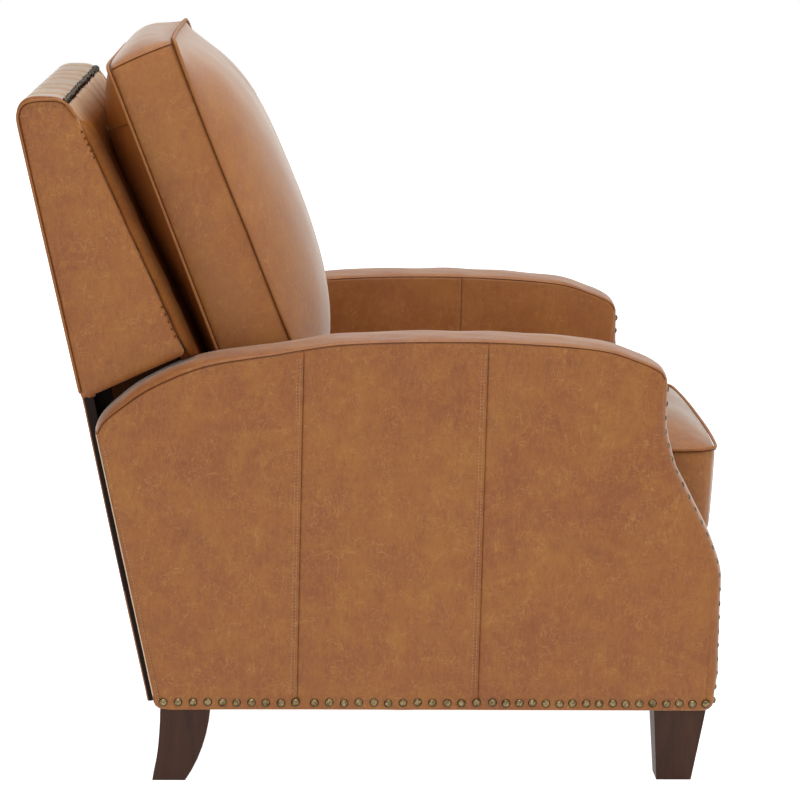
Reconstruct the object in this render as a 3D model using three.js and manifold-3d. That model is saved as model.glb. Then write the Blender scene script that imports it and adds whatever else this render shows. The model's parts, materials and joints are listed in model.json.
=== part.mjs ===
// Push-back recliner: high legs, padded scroll-front arms, box cushions and a folding footrest.
// Millimetres. +X is the front, +Y the sitter's left, +Z up. The floor is at zero height.

import * as THREE from 'three';
import { mergeVertices } from 'three/addons/utils/BufferGeometryUtils.js';
import Module from 'manifold-3d';

const wasm = await Module();
wasm.setup();

// Driving sizes of the whole chair
const chair = { width: 740, bodyBottom: 108 };

// Gaps between pieces, and how far a cutting solid runs past what it cuts
const fit = { touch: 0.3, pinHole: 0.3, besideCushion: 9, sideRunning: 11, overrun: 15 };
// Two pivots of the footrest linkage run in wider holes, which take up its drift between its two ends
const openPivot = { drive: 0.9, guide: 1.4 };

const arm = {
  thickness: 95, length: 879.5, height: 534, rearX: -390,
  edgeRadius: 7, padding: 15, cornerRadius: 14, heelShare: 0.0944,
};
// Side outline of an arm as shares of its length and height, from the rear shoulder over the top
const armTopShares = [
  [0, 0.745], [0.012, 0.775], [0.04, 0.809], [0.0864, 0.858], [0.166, 0.916], [0.2445, 0.949],
  [0.323, 0.975], [0.401, 0.992], [0.534, 1], [0.671, 0.997], [0.798, 0.981], [0.862, 0.951],
  [0.896, 0.925], [0.907, 0.902],
];
// The front edge of the same outline, down its S-curve to the bulge
const armFrontShares = [
  [0.907, 0.861], [0.903, 0.781], [0.908, 0.731], [0.921, 0.66], [0.9376, 0.606], [0.971, 0.4985],
  [0.986, 0.444], [0.9965, 0.39], [1, 0.335], [1, 0.171],
];

// Legs stand off the arm's bulge at the front, and off its heel at the rear
const frontLeg = {
  topInset: 9.5, topWidth: 75, footInset: 27, footWidth: 50, topDepth: 62, footDepth: 44,
};
const rearLeg = { topInset: 6.5, topWidth: 71.5, footSplay: 5, footWidth: 47, depth: 46 };
const leg = { inset: 12, edge: 1.5, bendShare: 0.42, rearBendShare: 0.05, frontBendShare: 0.85 };

const rail = { thickness: 22, height: 78, edge: 1.5, frontX: 203, lift: 4 };
const flap = { thickness: 3, sideInset: 37, topX: -409.5, footX: -319, topZ: 543 };

// Steel mechanism: flat links in parallel layers, counted inwards from the arm
const steel = { plate: 4, layerGap: 1, pin: 5, linkRadius: 10, sides: 14, headHeight: 2.5, headRadius: 7 };
const basePlate = { radius: 17, overhang: 26, boltShares: [0.36, 0.68] };
const swing = { length: 110, lean: 10, radius: 11.5, frontX: 120, rearX: -170, topZ: 288 };
const seatPlate = { radius: 15, noseRadius: 11, flangeRear: -150, flangeFront: 340, flangeTop: 333 };
const backPivot = { x: -248, z: 305 };

// Footrest linkage, folded: two pivots on the seat plate, two crossing links and a guide link
const footPivots = { driveX: 340.7, driveZ: 274.7, lowerX: 384.7, lowerZ: 292 };
const lowerLink = { length: 144.6, angle: -123.7, guideX: 15.9, guideZ: -28.6 };
const upperLink = { length: 147.1, angle: 55, driveX: -42.7, driveZ: -18 };
const bracket = { pivotX: 21.3, pivotZ: -28.9, radius: 9, flange: 22, flangeLow: 236, flangeHigh: 318 };
const torqueTube = { radius: 9, wall: 2 };

const seatFrame = { rearX: -188, frontX: 412, low: 306, high: 336, railWidth: 38, sideWidth: 30, edge: 1.5 };
const spring = { count: 5, wire: 3.8, loops: 7, swingWidth: 48, lap: 14, arch: 3, stepsPerLoop: 8, sides: 5 };

const seatCushion = {
  rearX: -140, frontX: 501, thickness: 128, crown: 30, underCrown: 0, pullShare: 0.012, crownPower: 2.4,
  rearBulge: 2, frontBulge: 4, sideBulge: 4, cornerPower: 40, taper: 5, earLift: 4,
};
// The rear piping of the back cushion stands off the inner back, and leans less than it
const backCushion = {
  standOff: 28.5, forwardLean: 3.85, below: 162, above: 420, thickness: 101, crown: 82, crownPower: 3,
  pullShare: 0.014, rearBulge: 20, frontBulge: 2, sideBulge: 5, cornerPower: 30, taper: 0, earLift: 6,
};
const footPad = {
  rearX: 440, thickness: 41, low: 120, high: 332, crown: 8, underCrown: 0, pullShare: 0.01, crownPower: 2.4,
  rearBulge: 2, frontBulge: 2, sideBulge: 2, cornerPower: 26, taper: 0, earLift: 0,
};
const footBoard = { thickness: 14, margin: 5, edge: 1.5 };
const cushionSteps = { loop: 48, face: 5, boxing: 4 };

// Side outline of the back's shell: rear and front corners at its top and bottom
const shell = {
  sideInset: 35, topRearX: -503, topRearZ: 965, topFrontX: -414, topFrontZ: 975,
  footFrontX: -246, footFrontZ: 613, footRearX: -411, footRearZ: 547,
  wing: 28, rearWall: 16, topWall: 22, edge: 6, topRadius: 18, footRadius: 14,
};
const insideBack = { setBack: 8, thickness: 24, below: 150, headroom: 34, edge: 4 };
const backFrame = {
  thickness: 28, postWidth: 42, below: 190, headroom: 42, railHeight: 60, middleShare: 0.38, edge: 1.5,
};
const backBracket = { radius: 13, reachShare: 0.37 };

const finishes = {
  leather: new THREE.MeshStandardMaterial({ color: 0xa0673f, roughness: 0.48, metalness: 0 }),
  darkLeather: new THREE.MeshStandardMaterial({ color: 0x855334, roughness: 0.52, metalness: 0 }),
  walnut: new THREE.MeshStandardMaterial({ color: 0x4a2f25, roughness: 0.4, metalness: 0 }),
  timber: new THREE.MeshStandardMaterial({ color: 0xc9a878, roughness: 0.75, metalness: 0 }),
  steel: new THREE.MeshStandardMaterial({ color: 0x2b2c2e, roughness: 0.45, metalness: 0.8 }),
  wire: new THREE.MeshStandardMaterial({ color: 0x6f7276, roughness: 0.35, metalness: 0.9 }),
};

const recliner = new THREE.Group();
const halfWidth = chair.width / 2;
const innerHalf = halfWidth - arm.thickness;
const cushionWidth = 2 * (innerHalf - fit.besideCushion);
const shellHalf = halfWidth - shell.sideInset;
const sides = { right: -1, left: 1 };

const radians = (degrees) => THREE.MathUtils.degToRad(degrees);
const mix = THREE.MathUtils.lerp;
const along = (from, angle, length) => ({
  x: from.x + length * Math.cos(radians(angle)),
  z: from.z + length * Math.sin(radians(angle)),
});

function addPiece(name, geometry, material) {
  const mesh = new THREE.Mesh(geometry, material);
  mesh.name = name;
  recliner.add(mesh);
  return mesh;
}

function solidOf(geometry) {
  const bare = geometry.clone();
  bare.deleteAttribute('normal');
  bare.deleteAttribute('uv');
  const merged = mergeVertices(bare);
  return new wasm.Manifold(new wasm.Mesh({
    numProp: 3,
    vertProperties: merged.attributes.position.array,
    triVerts: merged.index.array,
  }));
}

function geometryOf(solid) {
  const mesh = solid.getMesh();
  const geometry = new THREE.BufferGeometry();
  geometry.setAttribute('position', new THREE.BufferAttribute(mesh.vertProperties, 3));
  geometry.setIndex(new THREE.BufferAttribute(mesh.triVerts, 1));
  geometry.computeVertexNormals();
  return geometry;
}

// A side outline, drawn in x and z, becomes a solid between two places across the chair
function extrudeAcross(shape, span, edge = 0, rounds = 1) {
  const geometry = new THREE.ExtrudeGeometry(shape, {
    depth: span.high - span.low - 2 * edge,
    bevelEnabled: edge > 0,
    bevelThickness: edge,
    bevelSize: edge,
    bevelOffset: -edge,
    bevelSegments: rounds,
    curveSegments: 6,
  });
  geometry.rotateX(Math.PI / 2);
  geometry.translate(0, span.high - edge, 0);
  return geometry;
}

// The stretch between two distances from the middle of the chair, on one side of it
function spanOn(side, near, far) {
  return side > 0 ? { low: near, high: far } : { low: -far, high: -near };
}

const acrossAll = (half) => ({ low: -half, high: half });

function boxAcross(x, z, span, edge) {
  const shape = new THREE.Shape();
  shape.moveTo(x.low, z.low);
  shape.lineTo(x.high, z.low);
  shape.lineTo(x.high, z.high);
  shape.lineTo(x.low, z.high);
  shape.closePath();
  return extrudeAcross(shape, span, edge);
}

// Arms

function armPoint([lengthShare, heightShare], inset) {
  return new THREE.Vector2(
    arm.rearX + inset + lengthShare * (arm.length - 2 * inset),
    chair.bodyBottom + heightShare * (arm.height - inset),
  );
}

function armOutline(inset, bottom) {
  const shape = new THREE.Shape();
  const top = armTopShares.map((share) => armPoint(share, inset));
  const front = armFrontShares.map((share) => armPoint(share, inset));
  const heel = armPoint([arm.heelShare, 0], inset);
  const toeX = front[front.length - 1].x;
  shape.moveTo(heel.x, bottom);
  shape.lineTo(top[0].x, top[0].y);
  shape.splineThru(top.slice(1));
  shape.splineThru(front);
  shape.lineTo(toeX, bottom + arm.cornerRadius);
  shape.quadraticCurveTo(toeX, bottom, toeX - arm.cornerRadius, bottom);
  shape.closePath();
  return shape;
}

function outlineFromPoints(shape, spacing) {
  return new THREE.Shape(shape.getPoints(spacing));
}

function buildArm(sideName) {
  const side = sides[sideName];
  const outer = spanOn(side, innerHalf, halfWidth);
  const coverShape = outlineFromPoints(armOutline(0, chair.bodyBottom), 2);
  const cover = solidOf(extrudeAcross(coverShape, outer, arm.edgeRadius, 2));
  const pocketSpan = spanOn(side, innerHalf + arm.padding, halfWidth - arm.padding);
  const pocketShape = outlineFromPoints(armOutline(arm.padding, chair.bodyBottom - fit.overrun), 1);
  const pocket = solidOf(extrudeAcross(pocketShape, pocketSpan));
  addPiece(`${sideName}_arm_cover`, geometryOf(cover.subtract(pocket)), finishes.leather);

  const inset = arm.padding + fit.touch;
  const frameSpan = spanOn(side, innerHalf + inset, halfWidth - inset);
  const frameShape = outlineFromPoints(armOutline(inset, chair.bodyBottom), 1);
  addPiece(`${sideName}_arm_frame`, extrudeAcross(frameShape, frameSpan), finishes.timber);
}

// Legs and rails

const legTop = chair.bodyBottom - fit.touch;

function buildFrontLeg(sideName) {
  const side = sides[sideName];
  const armFront = arm.rearX + arm.length;
  const topX = armFront - frontLeg.topInset - frontLeg.topWidth;
  const footX = armFront - frontLeg.footInset - frontLeg.footWidth;
  const profile = new THREE.Shape();
  profile.moveTo(footX, 0);
  profile.lineTo(footX + frontLeg.footWidth, 0);
  profile.lineTo(topX + frontLeg.topWidth, legTop);
  profile.lineTo(topX, legTop);
  profile.closePath();
  const outer = halfWidth - leg.inset;
  const span = spanOn(side, outer - frontLeg.topDepth, outer);
  const sideways = solidOf(extrudeAcross(profile, span, leg.edge));

  // The same leg seen from the front, carried along the chair's length
  const taper = (frontLeg.topDepth - frontLeg.footDepth) / 2;
  const front = new THREE.Shape();
  front.moveTo(side * (outer - taper), -fit.overrun);
  front.lineTo(side * (outer - taper), 0);
  front.lineTo(side * outer, legTop);
  front.lineTo(side * outer, legTop + fit.overrun);
  front.lineTo(side * (outer - frontLeg.topDepth), legTop + fit.overrun);
  front.lineTo(side * (outer - frontLeg.topDepth), legTop);
  front.lineTo(side * (outer - frontLeg.topDepth + taper), 0);
  front.lineTo(side * (outer - frontLeg.topDepth + taper), -fit.overrun);
  front.closePath();
  const depth = frontLeg.topWidth + 2 * fit.overrun;
  const slab = new THREE.ExtrudeGeometry(front, { depth, bevelEnabled: false });
  slab.rotateX(Math.PI / 2);
  slab.rotateZ(Math.PI / 2);
  slab.translate(topX - fit.overrun, 0, 0);
  addPiece(`front_${sideName}_leg`, geometryOf(sideways.intersect(solidOf(slab))), finishes.walnut);
}

function buildRearLeg(sideName) {
  const bendZ = legTop * leg.bendShare;
  const heelX = armPoint([arm.heelShare, 0], 0).x;
  const topX = heelX + rearLeg.topInset;
  const footX = heelX - rearLeg.footSplay;
  const frontFoot = footX + rearLeg.footWidth;
  const frontTop = topX + rearLeg.topWidth;
  const profile = new THREE.Shape();
  profile.moveTo(footX, 0);
  profile.lineTo(frontFoot, 0);
  profile.quadraticCurveTo(mix(frontFoot, frontTop, leg.frontBendShare), bendZ, frontTop, legTop);
  profile.lineTo(topX, legTop);
  profile.quadraticCurveTo(mix(topX, footX, leg.rearBendShare), bendZ, footX, 0);
  const outer = halfWidth - leg.inset;
  const span = spanOn(sides[sideName], outer - rearLeg.depth, outer);
  addPiece(`rear_${sideName}_leg`, extrudeAcross(profile, span, leg.edge), finishes.walnut);
}

const flapSlope = (flap.footX - flap.topX) / (flap.topZ - chair.bodyBottom);
const flapX = (z) => flap.footX - flapSlope * (z - chair.bodyBottom);

function buildRails() {
  const low = chair.bodyBottom + rail.lift;
  const high = low + rail.height;
  const span = acrossAll(innerHalf - fit.touch);
  const frontX = { low: rail.frontX, high: rail.frontX + rail.thickness };
  addPiece('front_rail', boxAcross(frontX, { low, high }, span, rail.edge), finishes.timber);

  // The rear rail leans with the flap that it carries
  const seatX = flap.thickness + fit.touch;
  const lean = new THREE.Shape();
  lean.moveTo(flapX(low) + seatX, low);
  lean.lineTo(flapX(low) + seatX + rail.thickness, low);
  lean.lineTo(flapX(high) + seatX + rail.thickness, high);
  lean.lineTo(flapX(high) + seatX, high);
  lean.closePath();
  addPiece('rear_rail', extrudeAcross(lean, span), finishes.timber);
}

function buildFlap() {
  const shape = new THREE.Shape();
  shape.moveTo(flapX(chair.bodyBottom), chair.bodyBottom);
  shape.lineTo(flapX(chair.bodyBottom) + flap.thickness, chair.bodyBottom);
  shape.lineTo(flapX(flap.topZ) + flap.thickness, flap.topZ);
  shape.lineTo(flapX(flap.topZ), flap.topZ);
  shape.closePath();
  addPiece('rear_flap', extrudeAcross(shape, acrossAll(halfWidth - flap.sideInset)), finishes.leather);
}

// Steel mechanism

// Layer zero lies on the arm's inner face, and each further layer lies inwards
function layer(index) {
  const far = innerHalf - fit.touch - index * (steel.plate + steel.layerGap);
  return { near: far - steel.plate, far };
}

const layers = { base: 0, swing: 1, seat: 2, lower: 3, upper: 4, bracket: 5 };
const onLayer = (side, index) => spanOn(side, layer(index).near, layer(index).far);
const acrossLayers = (side, outer, inner) => spanOn(side, layer(inner).near, layer(outer).far);

function capsule(a, b, radius, span) {
  const angle = Math.atan2(b.z - a.z, b.x - a.x);
  const quarter = Math.PI / 2;
  const shape = new THREE.Shape();
  shape.absarc(b.x, b.z, radius, angle - quarter, angle + quarter, false);
  shape.absarc(a.x, a.z, radius, angle + quarter, angle + 3 * quarter, false);
  shape.closePath();
  return solidOf(extrudeAcross(shape, span));
}

function pinAt(point, radius, span) {
  const geometry = new THREE.CylinderGeometry(radius, radius, span.high - span.low, steel.sides);
  geometry.translate(point.x, (span.high + span.low) / 2, point.z);
  return solidOf(geometry);
}

function plateThrough(points, radius, span) {
  let plate = capsule(points[0], points[1], radius, span);
  for (let i = 2; i < points.length; i += 1) {
    plate = plate.add(capsule(points[i - 1], points[i], radius, span));
  }
  return plate;
}

function drill(plate, points, span, clearance = fit.pinHole) {
  const through = { low: span.low - fit.overrun, high: span.high + fit.overrun };
  return points.reduce((left, point) => left.subtract(pinAt(point, steel.pin + clearance, through)), plate);
}

function rivet(plate, points, span) {
  return points.reduce((left, point) => left.add(pinAt(point, steel.pin, span)), plate);
}

const swingTop = { front: { x: swing.frontX, z: swing.topZ }, rear: { x: swing.rearX, z: swing.topZ } };
const swingFoot = {
  front: along(swingTop.front, swing.lean - 90, swing.length),
  rear: along(swingTop.rear, swing.lean - 90, swing.length),
};

const drivePivot = { x: footPivots.driveX, z: footPivots.driveZ };
const lowerPivot = { x: footPivots.lowerX, z: footPivots.lowerZ };
const crossPivot = along(lowerPivot, lowerLink.angle, lowerLink.length);
const restPivot = along(crossPivot, upperLink.angle, upperLink.length);
const driveEnd = { x: crossPivot.x + upperLink.driveX, z: crossPivot.z + upperLink.driveZ };
const guideFoot = { x: crossPivot.x + lowerLink.guideX, z: crossPivot.z + lowerLink.guideZ };
const guideTop = { x: restPivot.x + bracket.pivotX, z: restPivot.z + bracket.pivotZ };

function buildBasePlate(sideName) {
  const side = sides[sideName];
  const span = onLayer(side, layers.base);
  const rear = { x: swingFoot.rear.x - basePlate.overhang, z: swingFoot.rear.z };
  const front = { x: swingFoot.front.x + basePlate.overhang, z: swingFoot.front.z };
  let plate = drill(plateThrough([rear, front], basePlate.radius, span), Object.values(swingFoot), span);
  const head = layer(layers.base).near;
  for (const share of basePlate.boltShares) {
    const bolt = { x: mix(rear.x, front.x, share), z: rear.z };
    plate = plate.add(pinAt(bolt, steel.headRadius, spanOn(side, head - steel.headHeight, head)));
  }
  addPiece(`${sideName}_base_plate`, geometryOf(plate), finishes.steel);
}

function buildSwingLink(sideName, end) {
  const side = sides[sideName];
  const link = plateThrough([swingFoot[end], swingTop[end]], swing.radius, onLayer(side, layers.swing));
  const toBase = rivet(link, [swingFoot[end]], acrossLayers(side, layers.base, layers.swing));
  const toSeat = rivet(toBase, [swingTop[end]], acrossLayers(side, layers.swing, layers.seat));
  addPiece(`${sideName}_swing_link_${end}`, geometryOf(toSeat), finishes.steel);
}

function buildSeatPlate(sideName) {
  const span = onLayer(sides[sideName], layers.seat);
  const spine = [backPivot, swingTop.rear, swingTop.front, lowerPivot];
  let plate = plateThrough(spine, seatPlate.noseRadius, span);
  plate = plate.add(plateThrough([swingTop.rear, swingTop.front], seatPlate.radius, span));
  plate = plate.add(plateThrough([swingTop.front, drivePivot, lowerPivot], seatPlate.noseRadius, span));
  const flangeX = { low: seatPlate.flangeRear, high: seatPlate.flangeFront };
  const flangeZ = { low: swing.topZ, high: seatPlate.flangeTop };
  plate = plate.add(solidOf(boxAcross(flangeX, flangeZ, span, 0)));
  const holes = [backPivot, swingTop.rear, swingTop.front, drivePivot, lowerPivot];
  addPiece(`${sideName}_seat_plate`, geometryOf(drill(plate, holes, span)), finishes.steel);
}

function buildFootLinks(sideName) {
  const side = sides[sideName];
  const lowerSpan = onLayer(side, layers.lower);
  const upperSpan = onLayer(side, layers.upper);
  const seatToLower = acrossLayers(side, layers.seat, layers.lower);

  const drive = rivet(plateThrough([drivePivot, driveEnd], steel.linkRadius, lowerSpan), [drivePivot], seatToLower);
  addPiece(`${sideName}_drive_link`, geometryOf(drill(drive, [driveEnd], lowerSpan, openPivot.drive)), finishes.steel);

  const lowerPoints = [lowerPivot, crossPivot, guideFoot, lowerPivot];
  const lower = rivet(plateThrough(lowerPoints, steel.linkRadius, lowerSpan), [lowerPivot, guideFoot], seatToLower);
  addPiece(`${sideName}_lower_link`, geometryOf(drill(lower, [crossPivot], lowerSpan)), finishes.steel);

  const lowerToUpper = acrossLayers(side, layers.lower, layers.upper);
  const upperPoints = [driveEnd, crossPivot, restPivot];
  const crossed = rivet(plateThrough(upperPoints, steel.linkRadius, upperSpan), [driveEnd, crossPivot], lowerToUpper);
  addPiece(`${sideName}_upper_link`, geometryOf(drill(crossed, [restPivot], upperSpan)), finishes.steel);

  // The guide link runs outside the crossing pair, in the seat plate's layer
  const guideSpan = onLayer(side, layers.seat);
  const guideBar = plateThrough([guideFoot, guideTop], bracket.radius, guideSpan);
  const guide = drill(drill(guideBar, [guideFoot], guideSpan), [guideTop], guideSpan, openPivot.guide);
  addPiece(`${sideName}_guide_link`, geometryOf(guide), finishes.steel);
}

function buildTorqueTube() {
  const ring = new THREE.Shape();
  ring.absarc(drivePivot.x, drivePivot.z, torqueTube.radius, 0, 2 * Math.PI, false);
  const bore = new THREE.Path();
  bore.absarc(drivePivot.x, drivePivot.z, torqueTube.radius - torqueTube.wall, 0, 2 * Math.PI, true);
  ring.holes.push(bore);
  const half = layer(layers.lower).near - fit.touch;
  addPiece('torque_tube', extrudeAcross(ring, acrossAll(half)), finishes.steel);
}

// Seat

function buildSeatFrame() {
  const z = { low: seatFrame.low, high: seatFrame.high };
  const half = layer(layers.seat).near - fit.touch;
  const rearX = { low: seatFrame.rearX, high: seatFrame.rearX + seatFrame.railWidth };
  const frontX = { low: seatFrame.frontX - seatFrame.railWidth, high: seatFrame.frontX };
  const sideX = { low: rearX.high + fit.touch, high: frontX.low - fit.touch };
  addPiece('seat_rail_rear', boxAcross(rearX, z, acrossAll(half), seatFrame.edge), finishes.timber);
  addPiece('seat_rail_front', boxAcross(frontX, z, acrossAll(half), seatFrame.edge), finishes.timber);
  for (const [sideName, side] of Object.entries(sides)) {
    const span = spanOn(side, half - seatFrame.sideWidth, half);
    addPiece(`seat_rail_${sideName}`, boxAcross(sideX, z, span, seatFrame.edge), finishes.timber);
  }
}

// A sinuous spring lies on the front and rear rails and rises a little between them
function buildSeatSprings() {
  const radius = spring.wire / 2;
  const baseZ = seatFrame.high + fit.touch + radius;
  const fromX = seatFrame.rearX + seatFrame.railWidth - spring.lap;
  const toX = seatFrame.frontX - seatFrame.railWidth + spring.lap;
  const half = layer(layers.seat).near - fit.touch - seatFrame.sideWidth;
  const pitch = (2 * half) / spring.count;
  const corners = Array.from({ length: spring.sides }, (_, i) => (2 * Math.PI * i) / spring.sides);
  const section = new THREE.Shape(corners.map((turn) => (
    new THREE.Vector2(radius * Math.cos(turn), radius * Math.sin(turn)))));
  for (let i = 0; i < spring.count; i += 1) {
    const middleY = -half + (i + 1 / 2) * pitch;
    const points = [];
    const quarters = spring.loops * 4;
    for (let q = 0; q <= quarters; q += 1) {
      const share = q / quarters;
      const x = mix(fromX, toX, share);
      const y = middleY + (spring.swingWidth / 2) * Math.sin((q * Math.PI) / 2);
      points.push(new THREE.Vector3(x, y, baseZ + spring.arch * Math.sin(Math.PI * share)));
    }
    const path = new THREE.CatmullRomCurve3(points);
    const wire = new THREE.ExtrudeGeometry(section, {
      steps: spring.loops * spring.stepsPerLoop, extrudePath: path, bevelEnabled: false,
    });
    addPiece(`seat_spring_${i + 1}`, wire, finishes.wire);
  }
}

// Cushions

const faceScale = (ring) => Math.sin((Math.PI / 2) * (ring / cushionSteps.face));
const fall = (share, power) => 1 - Math.abs(share) ** power;

// One point of the square loop with rounded corners, at a share of the way round
function loopPoint(share, power) {
  const side = Math.floor(share * 4);
  const run = 2 * (share * 4 - side) - 1;
  const [a, b] = [[1, run], [-run, 1], [-1, -run], [run, -1]][side];
  const round = (Math.abs(a) ** power + Math.abs(b) ** power) ** (-1 / power);
  return [a * round, b * round];
}

// A box cushion about the middle of its thickness. Loops run from the middle of its lower face,
// out to the seam, up the boxing and back to the middle of the upper face. Both faces swell by
// the product of two falling powers, the seams draw in between the corners and the boxing swells.
function cushionGeometry(size, length, width) {
  const stations = [];
  for (let i = 1; i <= cushionSteps.face; i += 1) {
    stations.push({ scale: faceScale(i), rise: 0, face: -1 });
  }
  for (let i = 1; i < cushionSteps.boxing; i += 1) {
    stations.push({ scale: 1, rise: i / cushionSteps.boxing, face: 0 });
  }
  for (let i = cushionSteps.face; i >= 1; i -= 1) {
    stations.push({ scale: faceScale(i), rise: 1, face: 1 });
  }
  const half = size.thickness / 2;
  const positions = [];
  const indices = [];
  for (const station of stations) {
    const swell = Math.sin(Math.PI * station.rise);
    for (let i = 0; i < cushionSteps.loop; i += 1) {
      const [a0, b0] = loopPoint(i / cushionSteps.loop, size.cornerPower);
      const a = a0 * station.scale;
      const b = b0 * station.scale;
      const fallA = fall(a, size.crownPower);
      const fallB = fall(b, size.crownPower);
      const pulledA = a * (1 - size.pullShare * fallB);
      const pulledB = b * (1 - size.pullShare * fallA);
      const taper = a > 0 ? size.taper * a * (1 - station.rise) : 0;
      const endBulge = a > 0 ? size.frontBulge : -size.rearBulge;
      const sideBulge = Math.sign(b) * size.sideBulge;
      const x = pulledA * (length / 2) + swell * endBulge * fallB * a * a - taper;
      const y = pulledB * (width / 2) + swell * sideBulge * fallA * b * b;
      const swellZ = fallA * fallB;
      const ear = size.earLift * (a * a) * (b * b);
      let z = mix(-half, half, station.rise);
      z += station.face > 0 ? size.crown * swellZ + ear : 0;
      z -= station.face < 0 ? size.underCrown * swellZ : 0;
      positions.push(x, y, z + (station.face === 0 ? ear * station.rise : 0));
    }
  }
  const lowCentre = positions.length / 3;
  positions.push(0, 0, -half - size.underCrown);
  positions.push(0, 0, half + size.crown);
  const loop = cushionSteps.loop;
  for (let s = 0; s < stations.length - 1; s += 1) {
    for (let i = 0; i < loop; i += 1) {
      const next = (i + 1) % loop;
      const [p, q] = [s * loop + i, s * loop + next];
      indices.push(p, q, q + loop, p, q + loop, p + loop);
    }
  }
  const last = (stations.length - 1) * loop;
  for (let i = 0; i < loop; i += 1) {
    const next = (i + 1) % loop;
    indices.push(lowCentre, next, i);
    indices.push(lowCentre + 1, last + i, last + next);
  }
  const geometry = new THREE.BufferGeometry();
  geometry.setAttribute('position', new THREE.Float32BufferAttribute(positions, 3));
  geometry.setIndex(indices);
  geometry.computeVertexNormals();
  return geometry;
}

// The seat cushion rests on the crest of the springs
function buildSeatCushion() {
  const size = seatCushion;
  const low = seatFrame.high + fit.touch + spring.wire + spring.arch + fit.touch;
  const geometry = cushionGeometry(size, size.frontX - size.rearX, cushionWidth);
  const mesh = addPiece('seat_cushion', geometry, finishes.leather);
  mesh.position.set((size.frontX + size.rearX) / 2, 0, low + size.thickness / 2);
}

// Back

const shellCorners = {
  topRear: new THREE.Vector2(shell.topRearX, shell.topRearZ),
  topFront: new THREE.Vector2(shell.topFrontX, shell.topFrontZ),
  footFront: new THREE.Vector2(shell.footFrontX, shell.footFrontZ),
  footRear: new THREE.Vector2(shell.footRearX, shell.footRearZ),
};

// Rounds a corner of an outline with a curve that starts and ends one radius away from it
function roundedOutline(corners, radii) {
  const shape = new THREE.Shape();
  corners.forEach((corner, i) => {
    const before = corners[(i + corners.length - 1) % corners.length];
    const after = corners[(i + 1) % corners.length];
    const from = corner.clone().add(before.clone().sub(corner).setLength(radii[i]));
    const to = corner.clone().add(after.clone().sub(corner).setLength(radii[i]));
    if (i === 0) shape.moveTo(from.x, from.y);
    else shape.lineTo(from.x, from.y);
    shape.quadraticCurveTo(corner.x, corner.y, to.x, to.y);
  });
  shape.closePath();
  return outlineFromPoints(shape, 4);
}

function buildShell() {
  const { topRear, topFront, footFront, footRear } = shellCorners;
  const radii = [shell.footRadius, shell.footRadius, shell.topRadius, shell.topRadius];
  const outline = roundedOutline([footRear, footFront, topFront, topRear], radii);
  const outer = solidOf(extrudeAcross(outline, acrossAll(shellHalf), shell.edge, 2));

  // The pocket opens to the front and below, between the rear wall, the top and the two wings
  const down = footRear.clone().sub(topRear).normalize();
  const inwards = new THREE.Vector2(-down.y, down.x);
  const topRun = topFront.clone().sub(topRear).normalize();
  const frontRun = footFront.clone().sub(topFront).normalize();
  const corner = topRear.clone().addScaledVector(inwards, shell.rearWall).addScaledVector(down, shell.topWall);
  const reach = footRear.distanceTo(topRear) + fit.overrun;
  const frontTop = topFront.clone().addScaledVector(down, shell.topWall).addScaledVector(topRun, shell.wing);
  const pocket = new THREE.Shape([
    corner,
    corner.clone().addScaledVector(down, reach),
    footFront.clone().addScaledVector(frontRun, reach / 2).addScaledVector(topRun, shell.wing),
    footFront.clone().addScaledVector(topRun, 2 * shell.wing),
    frontTop,
  ]);
  const hollow = solidOf(extrudeAcross(pocket, acrossAll(shellHalf - shell.wing)));
  addPiece('back_shell', geometryOf(outer.subtract(hollow)), finishes.leather);
}

// The inner back and its frame lie in layers behind the front edges of the wings
const frontEdge = shellCorners.topFront.clone().sub(shellCorners.footFront);
const edgeLength = frontEdge.length();
const upBack = frontEdge.clone().normalize();
const forward = new THREE.Vector2(upBack.y, -upBack.x);

function backPoint(climb, depth) {
  return shellCorners.footFront.clone().addScaledVector(upBack, climb).addScaledVector(forward, -depth);
}

function slopedBox(climb, depth, span, edge) {
  const shape = new THREE.Shape([
    backPoint(climb.low, depth.far),
    backPoint(climb.low, depth.near),
    backPoint(climb.high, depth.near),
    backPoint(climb.high, depth.far),
  ]);
  return extrudeAcross(shape, span, edge);
}

const panelDepth = { near: insideBack.setBack, far: insideBack.setBack + insideBack.thickness };
const frameDepth = { near: panelDepth.far + fit.touch, far: panelDepth.far + fit.touch + backFrame.thickness };
const postFace = layer(layers.lower).near - fit.touch;

// The back cushion's rear face, from its own middle, and its distance from the inner back
const cushionLean = Math.atan2(-upBack.x, upBack.y) - radians(backCushion.forwardLean);
const cushionUp = new THREE.Vector2(-Math.sin(cushionLean), Math.cos(cushionLean));
const cushionMiddle = backPoint(0, panelDepth.near - backCushion.standOff)
  .addScaledVector(cushionUp, (backCushion.above - backCushion.below) / 2);

function gapBehindCushion(share) {
  const half = (backCushion.above + backCushion.below) / 2;
  const point = cushionMiddle.clone().addScaledVector(cushionUp, share * half * (1 - backCushion.pullShare));
  return point.sub(backPoint(0, panelDepth.near)).dot(forward);
}

// The rear face swells until its first ring of points touches the inner back
function rearSwell() {
  let swell = gapBehindCushion(0);
  for (let ring = 1; ring < cushionSteps.face; ring += 1) {
    for (const share of [-faceScale(ring), faceScale(ring)]) {
      swell = Math.min(swell, (gapBehindCushion(share) - fit.touch) / fall(share, backCushion.crownPower));
    }
  }
  return swell;
}

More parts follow.
